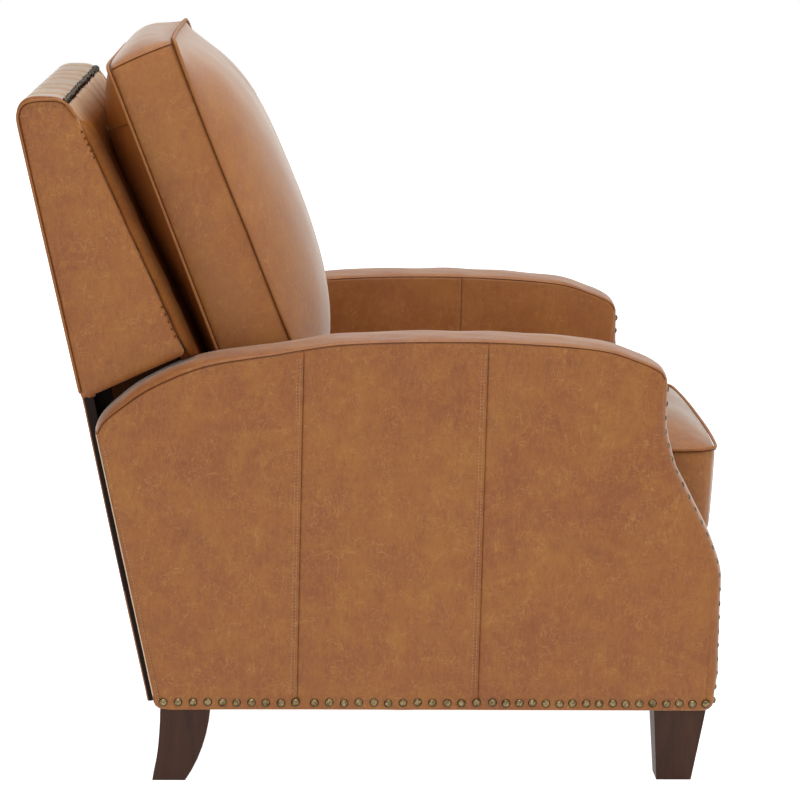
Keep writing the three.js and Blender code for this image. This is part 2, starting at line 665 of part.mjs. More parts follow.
function buildBackCushion() {
  const size = { ...backCushion, underCrown: rearSwell() };
  const geometry = cushionGeometry(size, size.above + size.below, cushionWidth);
  const mesh = addPiece('back_cushion', geometry, finishes.leather);
  const depth = size.thickness / 2;
  mesh.rotation.y = Math.PI / 2 - cushionLean;
  mesh.position.set(
    cushionMiddle.x + depth * Math.cos(cushionLean),
    0,
    cushionMiddle.y + depth * Math.sin(cushionLean),
  );
}

function buildInnerBack() {
  const upper = { low: fit.touch, high: edgeLength - insideBack.headroom };
  const wide = shellHalf - shell.wing - fit.touch;
  const narrow = innerHalf - fit.sideRunning;
  const top = solidOf(slopedBox(upper, panelDepth, acrossAll(wide), insideBack.edge));
  const whole = { low: -insideBack.below, high: edgeLength - insideBack.headroom - insideBack.edge };
  const tail = solidOf(slopedBox(whole, panelDepth, acrossAll(narrow), insideBack.edge));
  addPiece('inside_back', geometryOf(top.add(tail)), finishes.darkLeather);
}

function buildBackFrame() {
  const climb = { low: -backFrame.below, high: edgeLength - backFrame.headroom };
  const inner = postFace - backFrame.postWidth;
  for (const [sideName, side] of Object.entries(sides)) {
    const span = spanOn(side, inner, postFace);
    addPiece(`back_post_${sideName}`, slopedBox(climb, frameDepth, span, backFrame.edge), finishes.timber);
  }
  const between = acrossAll(inner - fit.touch);
  const rails = {
    bottom: climb.low,
    middle: mix(0, edgeLength, backFrame.middleShare),
    top: climb.high - backFrame.railHeight,
  };
  for (const [name, low] of Object.entries(rails)) {
    const run = { low, high: low + backFrame.railHeight };
    addPiece(`back_rail_${name}`, slopedBox(run, frameDepth, between, backFrame.edge), finishes.timber);
  }
}

function buildBackBracket(sideName) {
  const side = sides[sideName];
  const span = onLayer(side, layers.lower);
  const head = backPoint(-backFrame.below * backBracket.reachShare, (frameDepth.near + frameDepth.far) / 2);
  const plate = plateThrough([backPivot, { x: head.x, z: head.y }], backBracket.radius, span);
  const pinned = rivet(plate, [backPivot], acrossLayers(side, layers.seat, layers.lower));
  addPiece(`${sideName}_back_bracket`, geometryOf(pinned), finishes.steel);
}

// Footrest

function buildFootrest() {
  const padLength = footPad.high - footPad.low;
  const pad = addPiece('footrest_pad', cushionGeometry(footPad, padLength, cushionWidth), finishes.leather);
  pad.rotation.y = Math.PI / 2;
  pad.position.set(footPad.rearX + footPad.thickness / 2, 0, (footPad.low + footPad.high) / 2);

  const boardX = { low: footPad.rearX - fit.touch - footBoard.thickness, high: footPad.rearX - fit.touch };
  const boardZ = { low: footPad.low + footBoard.margin, high: footPad.high - footBoard.margin };
  const boardHalf = cushionWidth / 2 - footBoard.margin;
  addPiece('footrest_board', boxAcross(boardX, boardZ, acrossAll(boardHalf), footBoard.edge), finishes.timber);

  for (const [sideName, side] of Object.entries(sides)) {
    const span = onLayer(side, layers.bracket);
    const backX = boardX.low - fit.touch;
    const heel = { x: backX - bracket.radius, z: restPivot.z };
    const toe = { x: backX - bracket.radius, z: guideTop.z };
    let plate = plateThrough([restPivot, heel, toe, restPivot], bracket.radius, span);
    const flangeZ = { low: bracket.flangeLow, high: bracket.flangeHigh };
    const webX = { low: backX - bracket.radius, high: backX };
    plate = plate.add(solidOf(boxAcross(webX, flangeZ, span, 0)));
    const far = layer(layers.bracket).far;
    const flangeX = { low: backX - steel.plate, high: backX };
    const flangeSpan = spanOn(side, far - bracket.flange, far);
    plate = plate.add(solidOf(boxAcross(flangeX, flangeZ, flangeSpan, 0)));
    plate = rivet(plate, [restPivot], acrossLayers(side, layers.upper, layers.bracket));
    plate = rivet(plate, [guideTop], acrossLayers(side, layers.seat, layers.bracket));
    addPiece(`${sideName}_footrest_bracket`, geometryOf(plate), finishes.steel);
  }
}

for (const sideName of Object.keys(sides)) {
  buildArm(sideName);
  buildFrontLeg(sideName);
  buildRearLeg(sideName);
  buildBasePlate(sideName);
  buildSwingLink(sideName, 'front');
  buildSwingLink(sideName, 'rear');
  buildSeatPlate(sideName);
  buildFootLinks(sideName);
  buildBackBracket(sideName);
}
buildRails();
buildFlap();
buildTorqueTube();
buildSeatFrame();
buildSeatSprings();
buildSeatCushion();
buildShell();
buildInnerBack();
buildBackFrame();
buildBackCushion();
buildFootrest();

export default recliner;
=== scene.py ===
import json
import math

import bpy
import numpy as np
from mathutils import Matrix, Vector


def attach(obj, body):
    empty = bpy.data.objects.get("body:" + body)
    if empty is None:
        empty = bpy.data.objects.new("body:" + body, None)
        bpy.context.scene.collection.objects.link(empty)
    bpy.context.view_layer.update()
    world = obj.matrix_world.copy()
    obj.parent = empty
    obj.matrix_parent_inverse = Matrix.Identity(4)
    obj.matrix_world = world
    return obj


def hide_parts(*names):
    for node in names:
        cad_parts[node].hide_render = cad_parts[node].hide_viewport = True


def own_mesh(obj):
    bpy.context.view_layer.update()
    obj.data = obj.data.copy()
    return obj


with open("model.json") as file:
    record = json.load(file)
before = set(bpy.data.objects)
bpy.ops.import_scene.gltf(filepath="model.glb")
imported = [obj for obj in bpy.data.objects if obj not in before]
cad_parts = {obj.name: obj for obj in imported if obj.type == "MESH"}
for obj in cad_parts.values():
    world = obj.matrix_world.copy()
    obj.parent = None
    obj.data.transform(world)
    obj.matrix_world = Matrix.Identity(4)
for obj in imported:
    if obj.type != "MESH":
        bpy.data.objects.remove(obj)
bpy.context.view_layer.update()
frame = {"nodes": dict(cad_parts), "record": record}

# Mesh building


# The volume inside a closed mesh is the sum of its triangles' signed tetrahedra, so its sign tells the facing
def faceOutward(points, quads, triangles):
    fans = np.concatenate([quads[:, [0, 1, 2]], quads[:, [0, 2, 3]], triangles])
    a, b, c = (points[fans[:, k]] for k in range(3))
    if np.einsum("ij,ij->i", a, np.cross(b, c)).sum() < 0:
        return quads[:, ::-1], triangles[:, ::-1]
    return quads, triangles


def inScene(name, data):
    made = bpy.data.objects.new(name, data)
    bpy.context.scene.collection.objects.link(made)
    return made


def addMesh(name, points, quads, triangles=None):
    points = np.asarray(points, float).reshape(-1, 3)
    triangles = np.zeros((0, 3), int) if triangles is None else triangles
    quads, triangles = faceOutward(points, quads, triangles)
    mesh = bpy.data.meshes.new(name)
    mesh.from_pydata(points.tolist(), [], quads.tolist() + triangles.tolist())
    mesh.polygons.foreach_set("use_smooth", np.ones(len(mesh.polygons), bool))
    return inScene(name, mesh)


def unit(vectors):
    return vectors / np.linalg.norm(vectors, axis=-1, keepdims=True)


# The distance along a line up to each of its points
def runAlong(line):
    return np.concatenate([[0], np.cumsum(np.linalg.norm(np.diff(line, axis=0), axis=1))])


def lengthOf(line):
    return np.linalg.norm(np.diff(line, axis=0), axis=1).sum()


# Places in x and z, set at a level across the chair
def atLevel(flat, level):
    return np.stack(np.broadcast_arrays(flat[..., 0], level, flat[..., 1]), axis=-1)


# Directions in x and z, turned a quarter to the left
def leftOf(directions):
    return np.stack([-directions[:, 1], directions[:, 0]], axis=1)


# Quads of a grid of points, which may close on itself either way
def gridQuads(rows, columns, closeRows=False, closeColumns=False):
    index = np.arange(rows * columns).reshape(rows, columns)
    if closeRows:
        index = np.vstack([index, index[:1]])
    if closeColumns:
        index = np.hstack([index, index[:, :1]])
    corners = (index[:-1, :-1], index[:-1, 1:], index[1:, 1:], index[1:, :-1])
    return np.stack([corner.ravel() for corner in corners], axis=1)


# Closed loops in a row, joined into one body with a fan over each end
def loft(name, sections, ring=False):
    rows, columns = sections.shape[:2]
    quads = gridQuads(rows, columns, closeRows=ring, closeColumns=True)
    points = sections.reshape(-1, 3)
    if ring:
        return addMesh(name, points, quads)
    count = rows * columns
    points = np.vstack([points, sections[0].mean(0), sections[-1].mean(0)])
    near = np.arange(columns)
    far = near + (rows - 1) * columns
    first = np.stack([np.roll(near, -1), near, np.full(columns, count)], axis=1)
    last = np.stack([far, np.roll(far, -1), np.full(columns, count + 1)], axis=1)
    return addMesh(name, points, quads, np.concatenate([first, last]))


# Two grids of the same shape, front and back, joined round their border into one closed body
def slab(name, front, back):
    rows, columns = front.shape[:2]
    sections = np.concatenate([front, back[:, ::-1]], axis=1)
    quads = gridQuads(rows, 2 * columns, closeColumns=True)
    left = np.arange(columns)
    caps = []
    for row in (0, rows - 1):
        base = row * 2 * columns
        a, b = base + left[:-1], base + left[1:]
        c, d = base + 2 * columns - 1 - left[1:], base + 2 * columns - 1 - left[:-1]
        cap = np.stack([a, d, c, b], axis=1)
        caps.append(cap if row == 0 else cap[:, ::-1])
    return addMesh(name, sections.reshape(-1, 3), np.concatenate([quads] + caps))


# A round or oval cord along a path, rounded over its two end runs. Its width lies along the given
# sideways direction
def tube(name, path, sideways, radii, sides=10, ring=False, endRun=None):
    path = np.asarray(path, float)
    if ring:
        tangent = np.roll(path, -1, axis=0) - np.roll(path, 1, axis=0)
    else:
        tangent = np.gradient(path, axis=0)
    sideways = np.broadcast_to(np.asarray(sideways, float), path.shape)
    outward = unit(np.cross(unit(tangent), sideways))
    turn = np.linspace(0, 2 * math.pi, sides, endpoint=False)
    size = np.ones(len(path))
    if not ring:
        run = runAlong(path)
        end = np.minimum(run, run[-1] - run) / (endRun or max(radii))
        size = np.sqrt(np.clip(1 - (1 - np.clip(end, 0, 1)) ** 2, 0.004, 1))
    flat = np.cos(turn)[None, :, None] * sideways[:, None, :] * radii[0]
    tall = np.sin(turn)[None, :, None] * outward[:, None, :] * radii[1]
    return loft(name, path[:, None, :] + (flat + tall) * size[:, None, None], ring)


# Copies of one small shape at many places. The rows of each frame are its two flat directions and its normal
def scatter(name, shape, quads, triangles, places, frames):
    points = places[:, None, :] + np.einsum("pk,nkc->npc", shape, frames)
    shift = (np.arange(len(places)) * len(shape))[:, None, None]
    return addMesh(name, points.reshape(-1, 3), (quads[None] + shift).reshape(-1, 4),
                   (triangles[None] + shift).reshape(-1, 3))


# The points of a line at the given shares of its length
def resample(line, shares):
    run = runAlong(line)
    return np.stack([np.interp(shares, run / run[-1], line[:, k]) for k in range(line.shape[1])], axis=1)


# A corner turned by a curve of second degree
def turnedCorner(start, corner, end, count):
    t = np.linspace(0, 1, count)[:, None]
    return (1 - t) ** 2 * start + 2 * t * (1 - t) * corner + t ** 2 * end


# A Catmull-Rom curve through the points, at equal steps of its length
def smoothCurve(points, count, density=24):
    knots = np.asarray(points, float)
    padded = np.vstack([2 * knots[0] - knots[1], knots, 2 * knots[-1] - knots[-2]])
    along = np.linspace(0, len(knots) - 1, density * len(knots))
    i = np.minimum(along.astype(int), len(knots) - 2)
    u = (along - i)[:, None]
    a, b, c, d = (padded[i + k] for k in range(4))
    dense = 0.5 * (2 * b + (c - a) * u + (2 * a - 5 * b + 4 * c - d) * u ** 2
                   + (3 * b - a - 3 * c + d) * u ** 3)
    return resample(dense, np.linspace(0, 1, count))


# Shares from nothing to one, closer together towards both ends
def endDense(count):
    return (1 - np.cos(np.linspace(0, math.pi, count))) / 2


# Smooth unevenness between about minus one and one: sine waves in chosen random directions, added up
def unevenness(points, size, seed, waves=10):
    dice = np.random.default_rng(seed)
    directions = unit(dice.normal(size=(waves, points.shape[-1])))
    pitch = 2 * math.pi / (size * dice.uniform(0.6, 1.7, waves))
    phase = dice.uniform(0, 2 * math.pi, waves)
    return np.sin(points @ (directions * pitch[:, None]).T + phase).sum(-1) / math.sqrt(waves)


# A rounded edge: nothing at the edge, and one at its radius and beyond
def edgeRound(distance, radius):
    return np.sqrt(np.clip(1 - (1 - np.clip(distance / radius, 0, 1)) ** 2, 0, 1))


# The surface inside four joined border lines, mixed from the opposite pairs less their corners
def coons(bottom, top, left, right, u, v):
    u = u[None, :, None]
    v = v[:, None, None]
    ruled = (1 - v) * bottom[None] + v * top[None] + (1 - u) * left[:, None] + u * right[:, None]
    corners = ((1 - u) * (1 - v) * bottom[0] + u * (1 - v) * bottom[-1]
               + (1 - u) * v * top[0] + u * v * top[-1])
    return ruled - corners


sides = {"right": -1, "left": 1}
acrossY = np.array([0.0, 1.0, 0.0])


# Gives a piece its look and the body that it rides on, and hides the solids that it replaces
def dress(piece, look, body, *nodes):
    piece.data.materials.clear()
    piece.data.materials.append(looks[look])
    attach(piece, body)
    if nodes:
        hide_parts(*nodes)
    return piece


# A round cord of leather
def cord(name, path, radius, look, body, sideways=acrossY, sides=8, ring=False):
    return dress(tube(name, path, sideways, (radius, radius), sides, ring), look, body)


# Gives the faces whose middles pass the test another look
def secondLook(piece, look, isOther):
    piece.data.materials.append(looks[look])
    centres = np.empty(len(piece.data.polygons) * 3)
    piece.data.polygons.foreach_get("center", centres)
    piece.data.polygons.foreach_set("material_index", isOther(centres.reshape(-1, 3)).astype(np.int32))


# Materials


def srgb(red, green, blue):
    shares = np.array([red, green, blue]) / 255
    linear = np.where(shares <= 0.04045, shares / 12.92, ((shares + 0.055) / 1.055) ** 2.4)
    return (*linear.tolist(), 1.0)


def addNode(tree, kind, inputs=None, **settings):
    node = tree.nodes.new(kind)
    for key, value in settings.items():
        setattr(node, key, value)
    for key, value in (inputs or {}).items():
        if isinstance(value, bpy.types.NodeSocket):
            tree.links.new(value, node.inputs[key])
        else:
            node.inputs[key].default_value = value
    return node


toneOutputs = (("Color", "NodeSocketColor"), ("Roughness", "NodeSocketFloat"), ("Height", "NodeSocketFloat"))


def newGroup(name, outputs=toneOutputs):
    tree = bpy.data.node_groups.new(name, "ShaderNodeTree")
    tree.interface.new_socket("Vector", in_out="INPUT", socket_type="NodeSocketVector")
    for socket, kind in outputs:
        tree.interface.new_socket(socket, in_out="OUTPUT", socket_type=kind)
    return tree, tree.nodes.new("NodeGroupInput").outputs["Vector"], tree.nodes.new("NodeGroupOutput")


def putOut(tree, end, **values):
    for socket, value in values.items():
        tree.links.new(value, end.inputs[socket])


def nodeOf(tree, kind):
    return next(node for node in tree.nodes if node.bl_idname == kind)


def noise(tree, vector, scale, detail=4.0, roughness=0.55, distortion=0.0):
    values = {"Vector": vector, "Scale": scale, "Detail": detail, "Roughness": roughness,
              "Distortion": distortion}
    return addNode(tree, "ShaderNodeTexNoise", values).outputs["Fac"]


def stretched(tree, vector, scale):
    return addNode(tree, "ShaderNodeMapping", {"Vector": vector, "Scale": scale}).outputs["Vector"]


def ranged(tree, value, low, high, toLow=0.0, toHigh=1.0):
    values = {"Value": value, "From Min": low, "From Max": high, "To Min": toLow, "To Max": toHigh}
    return addNode(tree, "ShaderNodeMapRange", values).outputs["Result"]


def maths(tree, operation, first, second=0.5):
    return addNode(tree, "ShaderNodeMath", {0: first, 1: second}, operation=operation).outputs[0]


def blended(tree, share, first, second):
    node = addNode(tree, "ShaderNodeMix", data_type="RGBA")
    for socket, value in ((node.inputs[0], share), (node.inputs[6], first), (node.inputs[7], second)):
        if isinstance(value, bpy.types.NodeSocket):
            tree.links.new(value, socket)
        else:
            socket.default_value = value
    return node.outputs[2]


leatherLook = {
    "reddish": srgb(134, 75, 34), "middle": srgb(142, 84, 36), "golden": srgb(155, 101, 40),
    "scuff": srgb(186, 136, 76), "deep": srgb(112, 61, 28),
    "cloudScale": 8.0, "mottleScale": 42.0, "grainScale": 620.0, "creaseScale": 95.0,
    "goldenStretch": (1.2, 1.0, 0.8), "fibreStretch": (210.0, 210.0, 80.0),
    "hairScale": 64.0, "hairWidth": 0.010,
    # Each run of hair lines has a turn and a stretch of its own
    "hairRuns": (((0.5, 0.9, 0.3), (1.0, 1.0, 0.35)), ((1.9, 0.2, 1.2), (0.4, 1.0, 1.0)),
                 ((0.9, 2.3, 0.6), (1.5, 0.6, 1.2))),
    "patchScale": 30.0, "scuffShare": 0.42, "grainDeep": 0.28, "creaseDeep": 0.9, "markDeep": 0.16,
    "smoothest": 0.40, "roughest": 0.54, "markRough": 0.08,
}


# Cloudy cognac with golden and deep mottle and fibres over it, and pale hairlines in patches. Its height
# is a fine grain and soft creases, less the hairlines
def makeLeatherGroup():
    look = leatherLook
    tree, place, end = newGroup("leatherTone")
    clouds = noise(tree, place, look["cloudScale"], 4.0, 0.55, 0.2)
    golden = noise(tree, stretched(tree, place, look["goldenStretch"]), look["cloudScale"] * 2.1,
                   5.0, 0.6, 0.3)
    mottle = noise(tree, place, look["mottleScale"], 6.0, 0.7, 0.3)
    fibre = noise(tree, stretched(tree, place, look["fibreStretch"]), 1.0, 4.0, 0.7, 0.6)
    color = blended(tree, ranged(tree, clouds, 0.34, 0.62), look["reddish"], look["middle"])
    # Each layer of colour comes in between two values of its noise, up to a share
    layers = ((golden, 0.46, 0.72, 0.6, "golden"), (mottle, 0.5, 0.74, 0.65, "golden"),
              (mottle, 0.46, 0.28, 0.4, "deep"), (fibre, 0.5, 0.7, 0.45, "golden"),
              (fibre, 0.47, 0.3, 0.35, "deep"))
    for layer, low, high, most, tint in layers:
        color = blended(tree, ranged(tree, layer, low, high, 0, most), color, look[tint])
    hairs = []
    for turn, stretch in look["hairRuns"]:
        turned = addNode(tree, "ShaderNodeMapping", {"Vector": place, "Rotation": turn, "Scale": stretch})
        wave = noise(tree, turned.outputs["Vector"], look["hairScale"], 2.5, 0.55, 0.7)
        away = maths(tree, "ABSOLUTE", maths(tree, "SUBTRACT", wave, 0.5))
        hairs.append(ranged(tree, away, look["hairWidth"], 0.0))
    patches = ranged(tree, noise(tree, place, look["patchScale"], 4.0, 0.65), 0.38, 0.56)
    marks = maths(tree, "MAXIMUM", maths(tree, "MAXIMUM", hairs[0], hairs[1]), hairs[2])
    marks = maths(tree, "MULTIPLY", marks, patches)
    color = blended(tree, maths(tree, "MULTIPLY", marks, look["scuffShare"]), color, look["scuff"])
    cells = addNode(tree, "ShaderNodeTexVoronoi", {"Vector": place, "Scale": look["grainScale"]})
    grain = maths(tree, "MULTIPLY", cells.outputs["Distance"], look["grainDeep"])
    crease = noise(tree, place, look["creaseScale"], 5.0, 0.62, 0.9)
    crease = maths(tree, "MULTIPLY", crease, look["creaseDeep"])
    height = maths(tree, "SUBTRACT", maths(tree, "ADD", grain, crease),
                   maths(tree, "MULTIPLY", marks, look["markDeep"]))
    roughness = maths(tree, "ADD", ranged(tree, mottle, 0.3, 0.7, look["smoothest"], look["roughest"]),
                      maths(tree, "MULTIPLY", marks, look["markRough"]))
    putOut(tree, end, Color=color, Roughness=roughness, Height=height)
    return tree


# Long wavy grain lines with open pores. The grain runs along the local Z direction
def makeWoodGroup(name, dark, light, scale):
    tree, place, end = newGroup(name, toneOutputs[::2])
    figure = noise(tree, stretched(tree, place, (1.0, 1.0, 0.11)), scale, 6.0, 0.62, 1.6)
    fine = noise(tree, stretched(tree, place, (1.0, 1.0, 0.03)), scale * 9, 3.0, 0.7, 0.2)
    color = blended(tree, ranged(tree, figure, 0.32, 0.68), dark, light)
    color = blended(tree, ranged(tree, fine, 0.56, 0.72, 0, 0.6), color, dark)
    putOut(tree, end, Color=color, Height=ranged(tree, fine, 0.5, 0.75, 1.0, 0.0))
    return tree


# Bright metal worn on top of a dark patina, with small hammered hollows
def makeMetalGroup(name, dark, light, scale):
    tree, place, end = newGroup(name)
    blotch = noise(tree, place, scale, 5.0, 0.6, 0.4)
    fine = noise(tree, place, scale * 4, 3.0, 0.6, 0.0)
    putOut(tree, end, Color=blended(tree, ranged(tree, blotch, 0.36, 0.64), dark, light),
           Roughness=ranged(tree, fine, 0.3, 0.7, 0.26, 0.5), Height=fine)
    return tree


def newMaterial(name, group, bump, distance, **constants):
    material = bpy.data.materials.new(name)
    material.use_nodes = True
    tree = material.node_tree
    tree.nodes.clear()
    output = tree.nodes.new("ShaderNodeOutputMaterial")
    shader = tree.nodes.new("ShaderNodeBsdfPrincipled")
    place = tree.nodes.new("ShaderNodeTexCoord").outputs["Object"]
    tone = addNode(tree, "ShaderNodeGroup", node_tree=group)
    tree.links.new(place, tone.inputs["Vector"])
    tree.links.new(tone.outputs["Color"], shader.inputs["Base Color"])
    if "Roughness" in tone.outputs:
        tree.links.new(tone.outputs["Roughness"], shader.inputs["Roughness"])
    relief = addNode(tree, "ShaderNodeBump",
                     {"Height": tone.outputs["Height"], "Strength": bump, "Distance": distance})
    tree.links.new(relief.outputs["Normal"], shader.inputs["Normal"])
    for socket, value in constants.items():
        shader.inputs[socket.replace("_", " ")].default_value = value
    tree.links.new(shader.outputs["BSDF"], output.inputs["Surface"])
    return material


# The same leather under one or more tints. Each tint comes with its share, or with a direction, the two
# distances along it between which the tint fades in, and the most that it reaches
def tintedLeather(name, tints, ior=1.4, **constants):
    material = newMaterial(name, leatherGroup, 0.35, 0.0006, IOR=ior, **constants)
    tree = material.node_tree
    place = nodeOf(tree, "ShaderNodeTexCoord").outputs["Object"]
    color = nodeOf(tree, "ShaderNodeGroup").outputs["Color"]
    for tint, share in tints:
        if isinstance(share, tuple):
            direction, start, end, most = share
            along = addNode(tree, "ShaderNodeVectorMath", {0: place, 1: direction}, operation="DOT_PRODUCT")
            share = ranged(tree, along.outputs["Value"], start, end, 0.0, most)
        color = blended(tree, share, color, tint)
    tree.links.new(color, nodeOf(tree, "ShaderNodeBsdfPrincipled").inputs["Base Color"])
    return material


# Nail metal painted darker towards the rim of each head, where its surface turns from the view: painted shade that
# gives the domes their shape
def rimShadedMetal(name, group):
    material = newMaterial(name, group, 0.2, 0.0003, Metallic=1.0)
    tree = material.node_tree
    tone = nodeOf(tree, "ShaderNodeGroup").outputs["Color"]
    facing = addNode(tree, "ShaderNodeLayerWeight", {"Blend": 0.5}).outputs["Facing"]
    color = blended(tree, ranged(tree, facing, 0.12, 0.75), tone, srgb(40, 30, 20))
    tree.links.new(color, nodeOf(tree, "ShaderNodeBsdfPrincipled").inputs["Base Color"])
    return material


leatherGroup = makeLeatherGroup()
brassGroup = makeMetalGroup("brassPatina", srgb(84, 68, 44), srgb(160, 140, 102), 240.0)
agedGroup = makeMetalGroup("agedPatina", srgb(22, 19, 15), srgb(108, 98, 78), 700.0)
steelGroup = makeMetalGroup("powderCoat", srgb(24, 24, 26), srgb(38, 38, 40), 900.0)
wireGroup = makeMetalGroup("oiledWire", srgb(92, 94, 96), srgb(150, 152, 154), 160.0)
threadGroup = makeMetalGroup("waxedThread", srgb(142, 98, 66), srgb(186, 142, 104), 900.0)
walnutGroup = makeWoodGroup("walnutGrain", srgb(50, 28, 17), srgb(68, 40, 26), 30.0)
timberGroup = makeWoodGroup("timberGrain", srgb(126, 92, 60), srgb(158, 120, 82), 22.0)

sheen = {"Sheen_Weight": 0.8, "Sheen_Roughness": 0.33, "Sheen_Tint": (0.94, 1.0, 0.97, 1.0)}
looks = {
    "leather": newMaterial("leather", leatherGroup, 0.4, 0.0007, IOR=1.42, Sheen_Weight=0.5,
                           Sheen_Roughness=0.33, Sheen_Tint=(1.0, 0.97, 0.92, 1.0)),
    "paleLeather": newMaterial("paleLeather", leatherGroup, 0.4, 0.0007, IOR=1.42, **sheen),
    # Painted light: the leather lightened by a golden tint, for the back cushion and the arms' inner panels, which
    # the lamps light less
    "paintedLightLeather": tintedLeather("paintedLightLeather", [(srgb(174, 114, 60), 0.2)], 1.42,
                                  **{**sheen, "Sheen_Weight": 0.7, "Sheen_Roughness": 0.36}),
    # Painted sheen: the shell top paled by a cream tint, as leather looks when seen at a grazing angle
    "paintedSheenTopLeather": tintedLeather("paintedSheenTopLeather", [(srgb(205, 190, 150), 0.22)], 1.42, **sheen),
    # Painted shade: the leather darkened by a brown tint, for the gusset that hangs in shade inside the arm
    "paintedShadeLeather": tintedLeather("paintedShadeLeather", [(srgb(70, 33, 15), 0.68)], 1.12),
    "shadeLeather": tintedLeather("shadeLeather", [(srgb(96, 50, 24), 0.45)], 1.2),
    # Painted light: the leather lightened by a golden tint, without sheen, for the back cushion's rear face in the
    # shade of the gap
    "paintedLightRearLeather": tintedLeather("paintedLightRearLeather", [(srgb(170, 104, 52), 0.6)], 1.2),
    # Painted shade and sheen: darker brown downwards into the gap behind the back cushion, and paler towards the
    # top as a painted sheen on the pleats
    "paintedShadeSheenGapLeather": tintedLeather("paintedShadeSheenGapLeather", [
        (srgb(124, 66, 31), ((0, 0, 1), 0.955, 0.875, 1.0)),
        (srgb(214, 192, 166), ((0, 0, 1), 0.93, 0.962, 0.6))], 1.15),
    # Painted highlight: a pale tint for the cord down the arm's rear edge
    "paintedHighlightLeather": tintedLeather("paintedHighlightLeather", [(srgb(226, 200, 172), 0.7)]),
    # A dark brown tint: painted shade on the thin cords in creases beside piping and welts, and the dark of seam
    # lines and small tacks
    "seamDarkAndShadeLeather": tintedLeather("seamDarkAndShadeLeather", [(srgb(80, 42, 20), 0.8)], 1.15),
    # Painted shade: near black, inside the rear flap and over the gusset's rear part
    "paintedShadeBlack": tintedLeather("paintedShadeBlackCloth", [(srgb(16, 12, 10), 0.97)], 1.2),
    "pipingLeather": tintedLeather("pipingLeather", [(srgb(150, 96, 52), 0.45)]),
    "brass": rimShadedMetal("antiqueBrass", brassGroup),
    "darkBrass": rimShadedMetal("agedBrass", agedGroup),
    "mechanism_steel": newMaterial("powderCoatedSteel", steelGroup, 0.3, 0.0002, Metallic=0.2, IOR=1.5),
    "spring_wire": newMaterial("springWire", wireGroup, 0.1, 0.0002, Metallic=1.0),
    "thread": newMaterial("thread", threadGroup, 0.2, 0.0002, Metallic=0.0, IOR=1.45),
    "walnut": newMaterial("walnut", walnutGroup, 0.25, 0.0004, Roughness=0.34, IOR=1.3),
    "frame_timber": newMaterial("sawnTimber", timberGroup, 0.3, 0.0004, Roughness=0.72),
}
print("materials made")

# CAD pieces that stay in view

legRounding = 0.0024

for subpart in frame["record"]["subparts"]:
    node = frame["nodes"][subpart["node"]]
    node.data.materials.clear()
    node.data.materials.append(looks[subpart["material_slot"]])
    if subpart["material_slot"] == "walnut":
        rounding = node.modifiers.new("rounding", "BEVEL")
        rounding.width, rounding.segments, rounding.limit_method = legRounding, 3, "ANGLE"
print("frame pieces finished")

# Nail heads and stitches

nailSize = {"radius": 0.0063, "height": 0.0047, "sides": 14, "rings": 4, "pitch": 0.0192, "tiltShare": 0.06}
stitchSize = {"length": 0.0036, "radius": 0.00062, "pitch": 0.0047, "sides": 6, "rings": 5}


# A dome: rings that shrink by the cosine of their latitude and rise by its sine
def domeShape(size, scale=1.0):
    latitude = np.linspace(0, math.pi / 2, size["rings"] + 1)[:-1]
    turn = np.linspace(0, 2 * math.pi, size["sides"], endpoint=False)
    radius = (np.cos(latitude) * size["radius"] * scale)[:, None]
    rise = np.repeat(np.sin(latitude)[:, None] * size["height"] * scale, size["sides"], 1)
    rings = np.stack([radius * np.cos(turn), radius * np.sin(turn), rise], axis=-1)
    points = np.vstack([rings.reshape(-1, 3), [[0, 0, size["height"] * scale], [0, 0, 0]]])
    quads = gridQuads(size["rings"], size["sides"], closeColumns=True)
    loop = np.arange(size["sides"])
    top = loop + (size["rings"] - 1) * size["sides"]
    count = size["rings"] * size["sides"]
    crown = np.stack([top, np.roll(top, -1), np.full(size["sides"], count)], axis=1)
    base = np.stack([np.roll(loop, -1), loop, np.full(size["sides"], count + 1)], axis=1)
    return points, quads, np.concatenate([crown, base])


# A thread lying in the leather: a thin spindle along its first direction
def stitchShape(size):
    share = np.linspace(-1, 1, size["rings"])
    turn = np.linspace(0, 2 * math.pi, size["sides"], endpoint=False)
    radius = (size["radius"] * np.sqrt(np.clip(1.06 - share ** 2, 0, 1)))[:, None]
    points = np.stack([np.repeat(share[:, None] * size["length"] / 2, size["sides"], 1),
                       radius * np.cos(turn), radius * np.sin(turn)], axis=-1).reshape(-1, 3)
    quads = gridQuads(size["rings"], size["sides"], closeColumns=True)
    loop = np.arange(size["sides"])
    last = loop + (size["rings"] - 1) * size["sides"]
    fans = [np.stack([np.full(size["sides"] - 2, ring[0]), ring[1:-1], ring[2:]], axis=1)
            for ring in (loop, last)]
    return points, quads, np.concatenate([fans[0][:, ::-1], fans[1]])


# Frames whose normals are given and whose first direction follows the second argument
def framesAlong(normals, directions):
    normals = unit(normals)
    first = unit(directions - np.einsum("ij,ij->i", directions, normals)[:, None] * normals)
    return np.stack([first, np.cross(normals, first), normals], axis=1)


# Hand-driven nails: each one tilts and shifts a little
def nailRow(name, places, normals, body, seed, scale=1.0, look="brass"):
    dice = np.random.default_rng(seed)
    normals = normals + dice.normal(scale=nailSize["tiltShare"], size=normals.shape)
    directions = dice.normal(size=normals.shape)
    points, quads, triangles = domeShape(nailSize, scale)
    row = scatter(name, points, quads, triangles, places, framesAlong(normals, directions))
    return dress(row, look, body)


def stitchRow(name, line, normals, body):
    length = lengthOf(line)
    shares = (np.arange(int(length / stitchSize["pitch"])) + 0.5) * stitchSize["pitch"] / length
    places = resample(line, shares)
    facing = resample(np.hstack([line, normals]), shares)[:, 3:]
    directions = resample(line, np.clip(shares + 0.002, 0, 1)) - resample(line, np.clip(shares - 0.002, 0, 1))
    points, quads, triangles = stitchShape(stitchSize)
    row = scatter(name, points, quads, triangles, places, framesAlong(facing, directions))
    return dress(row, "thread", body)


# Arms

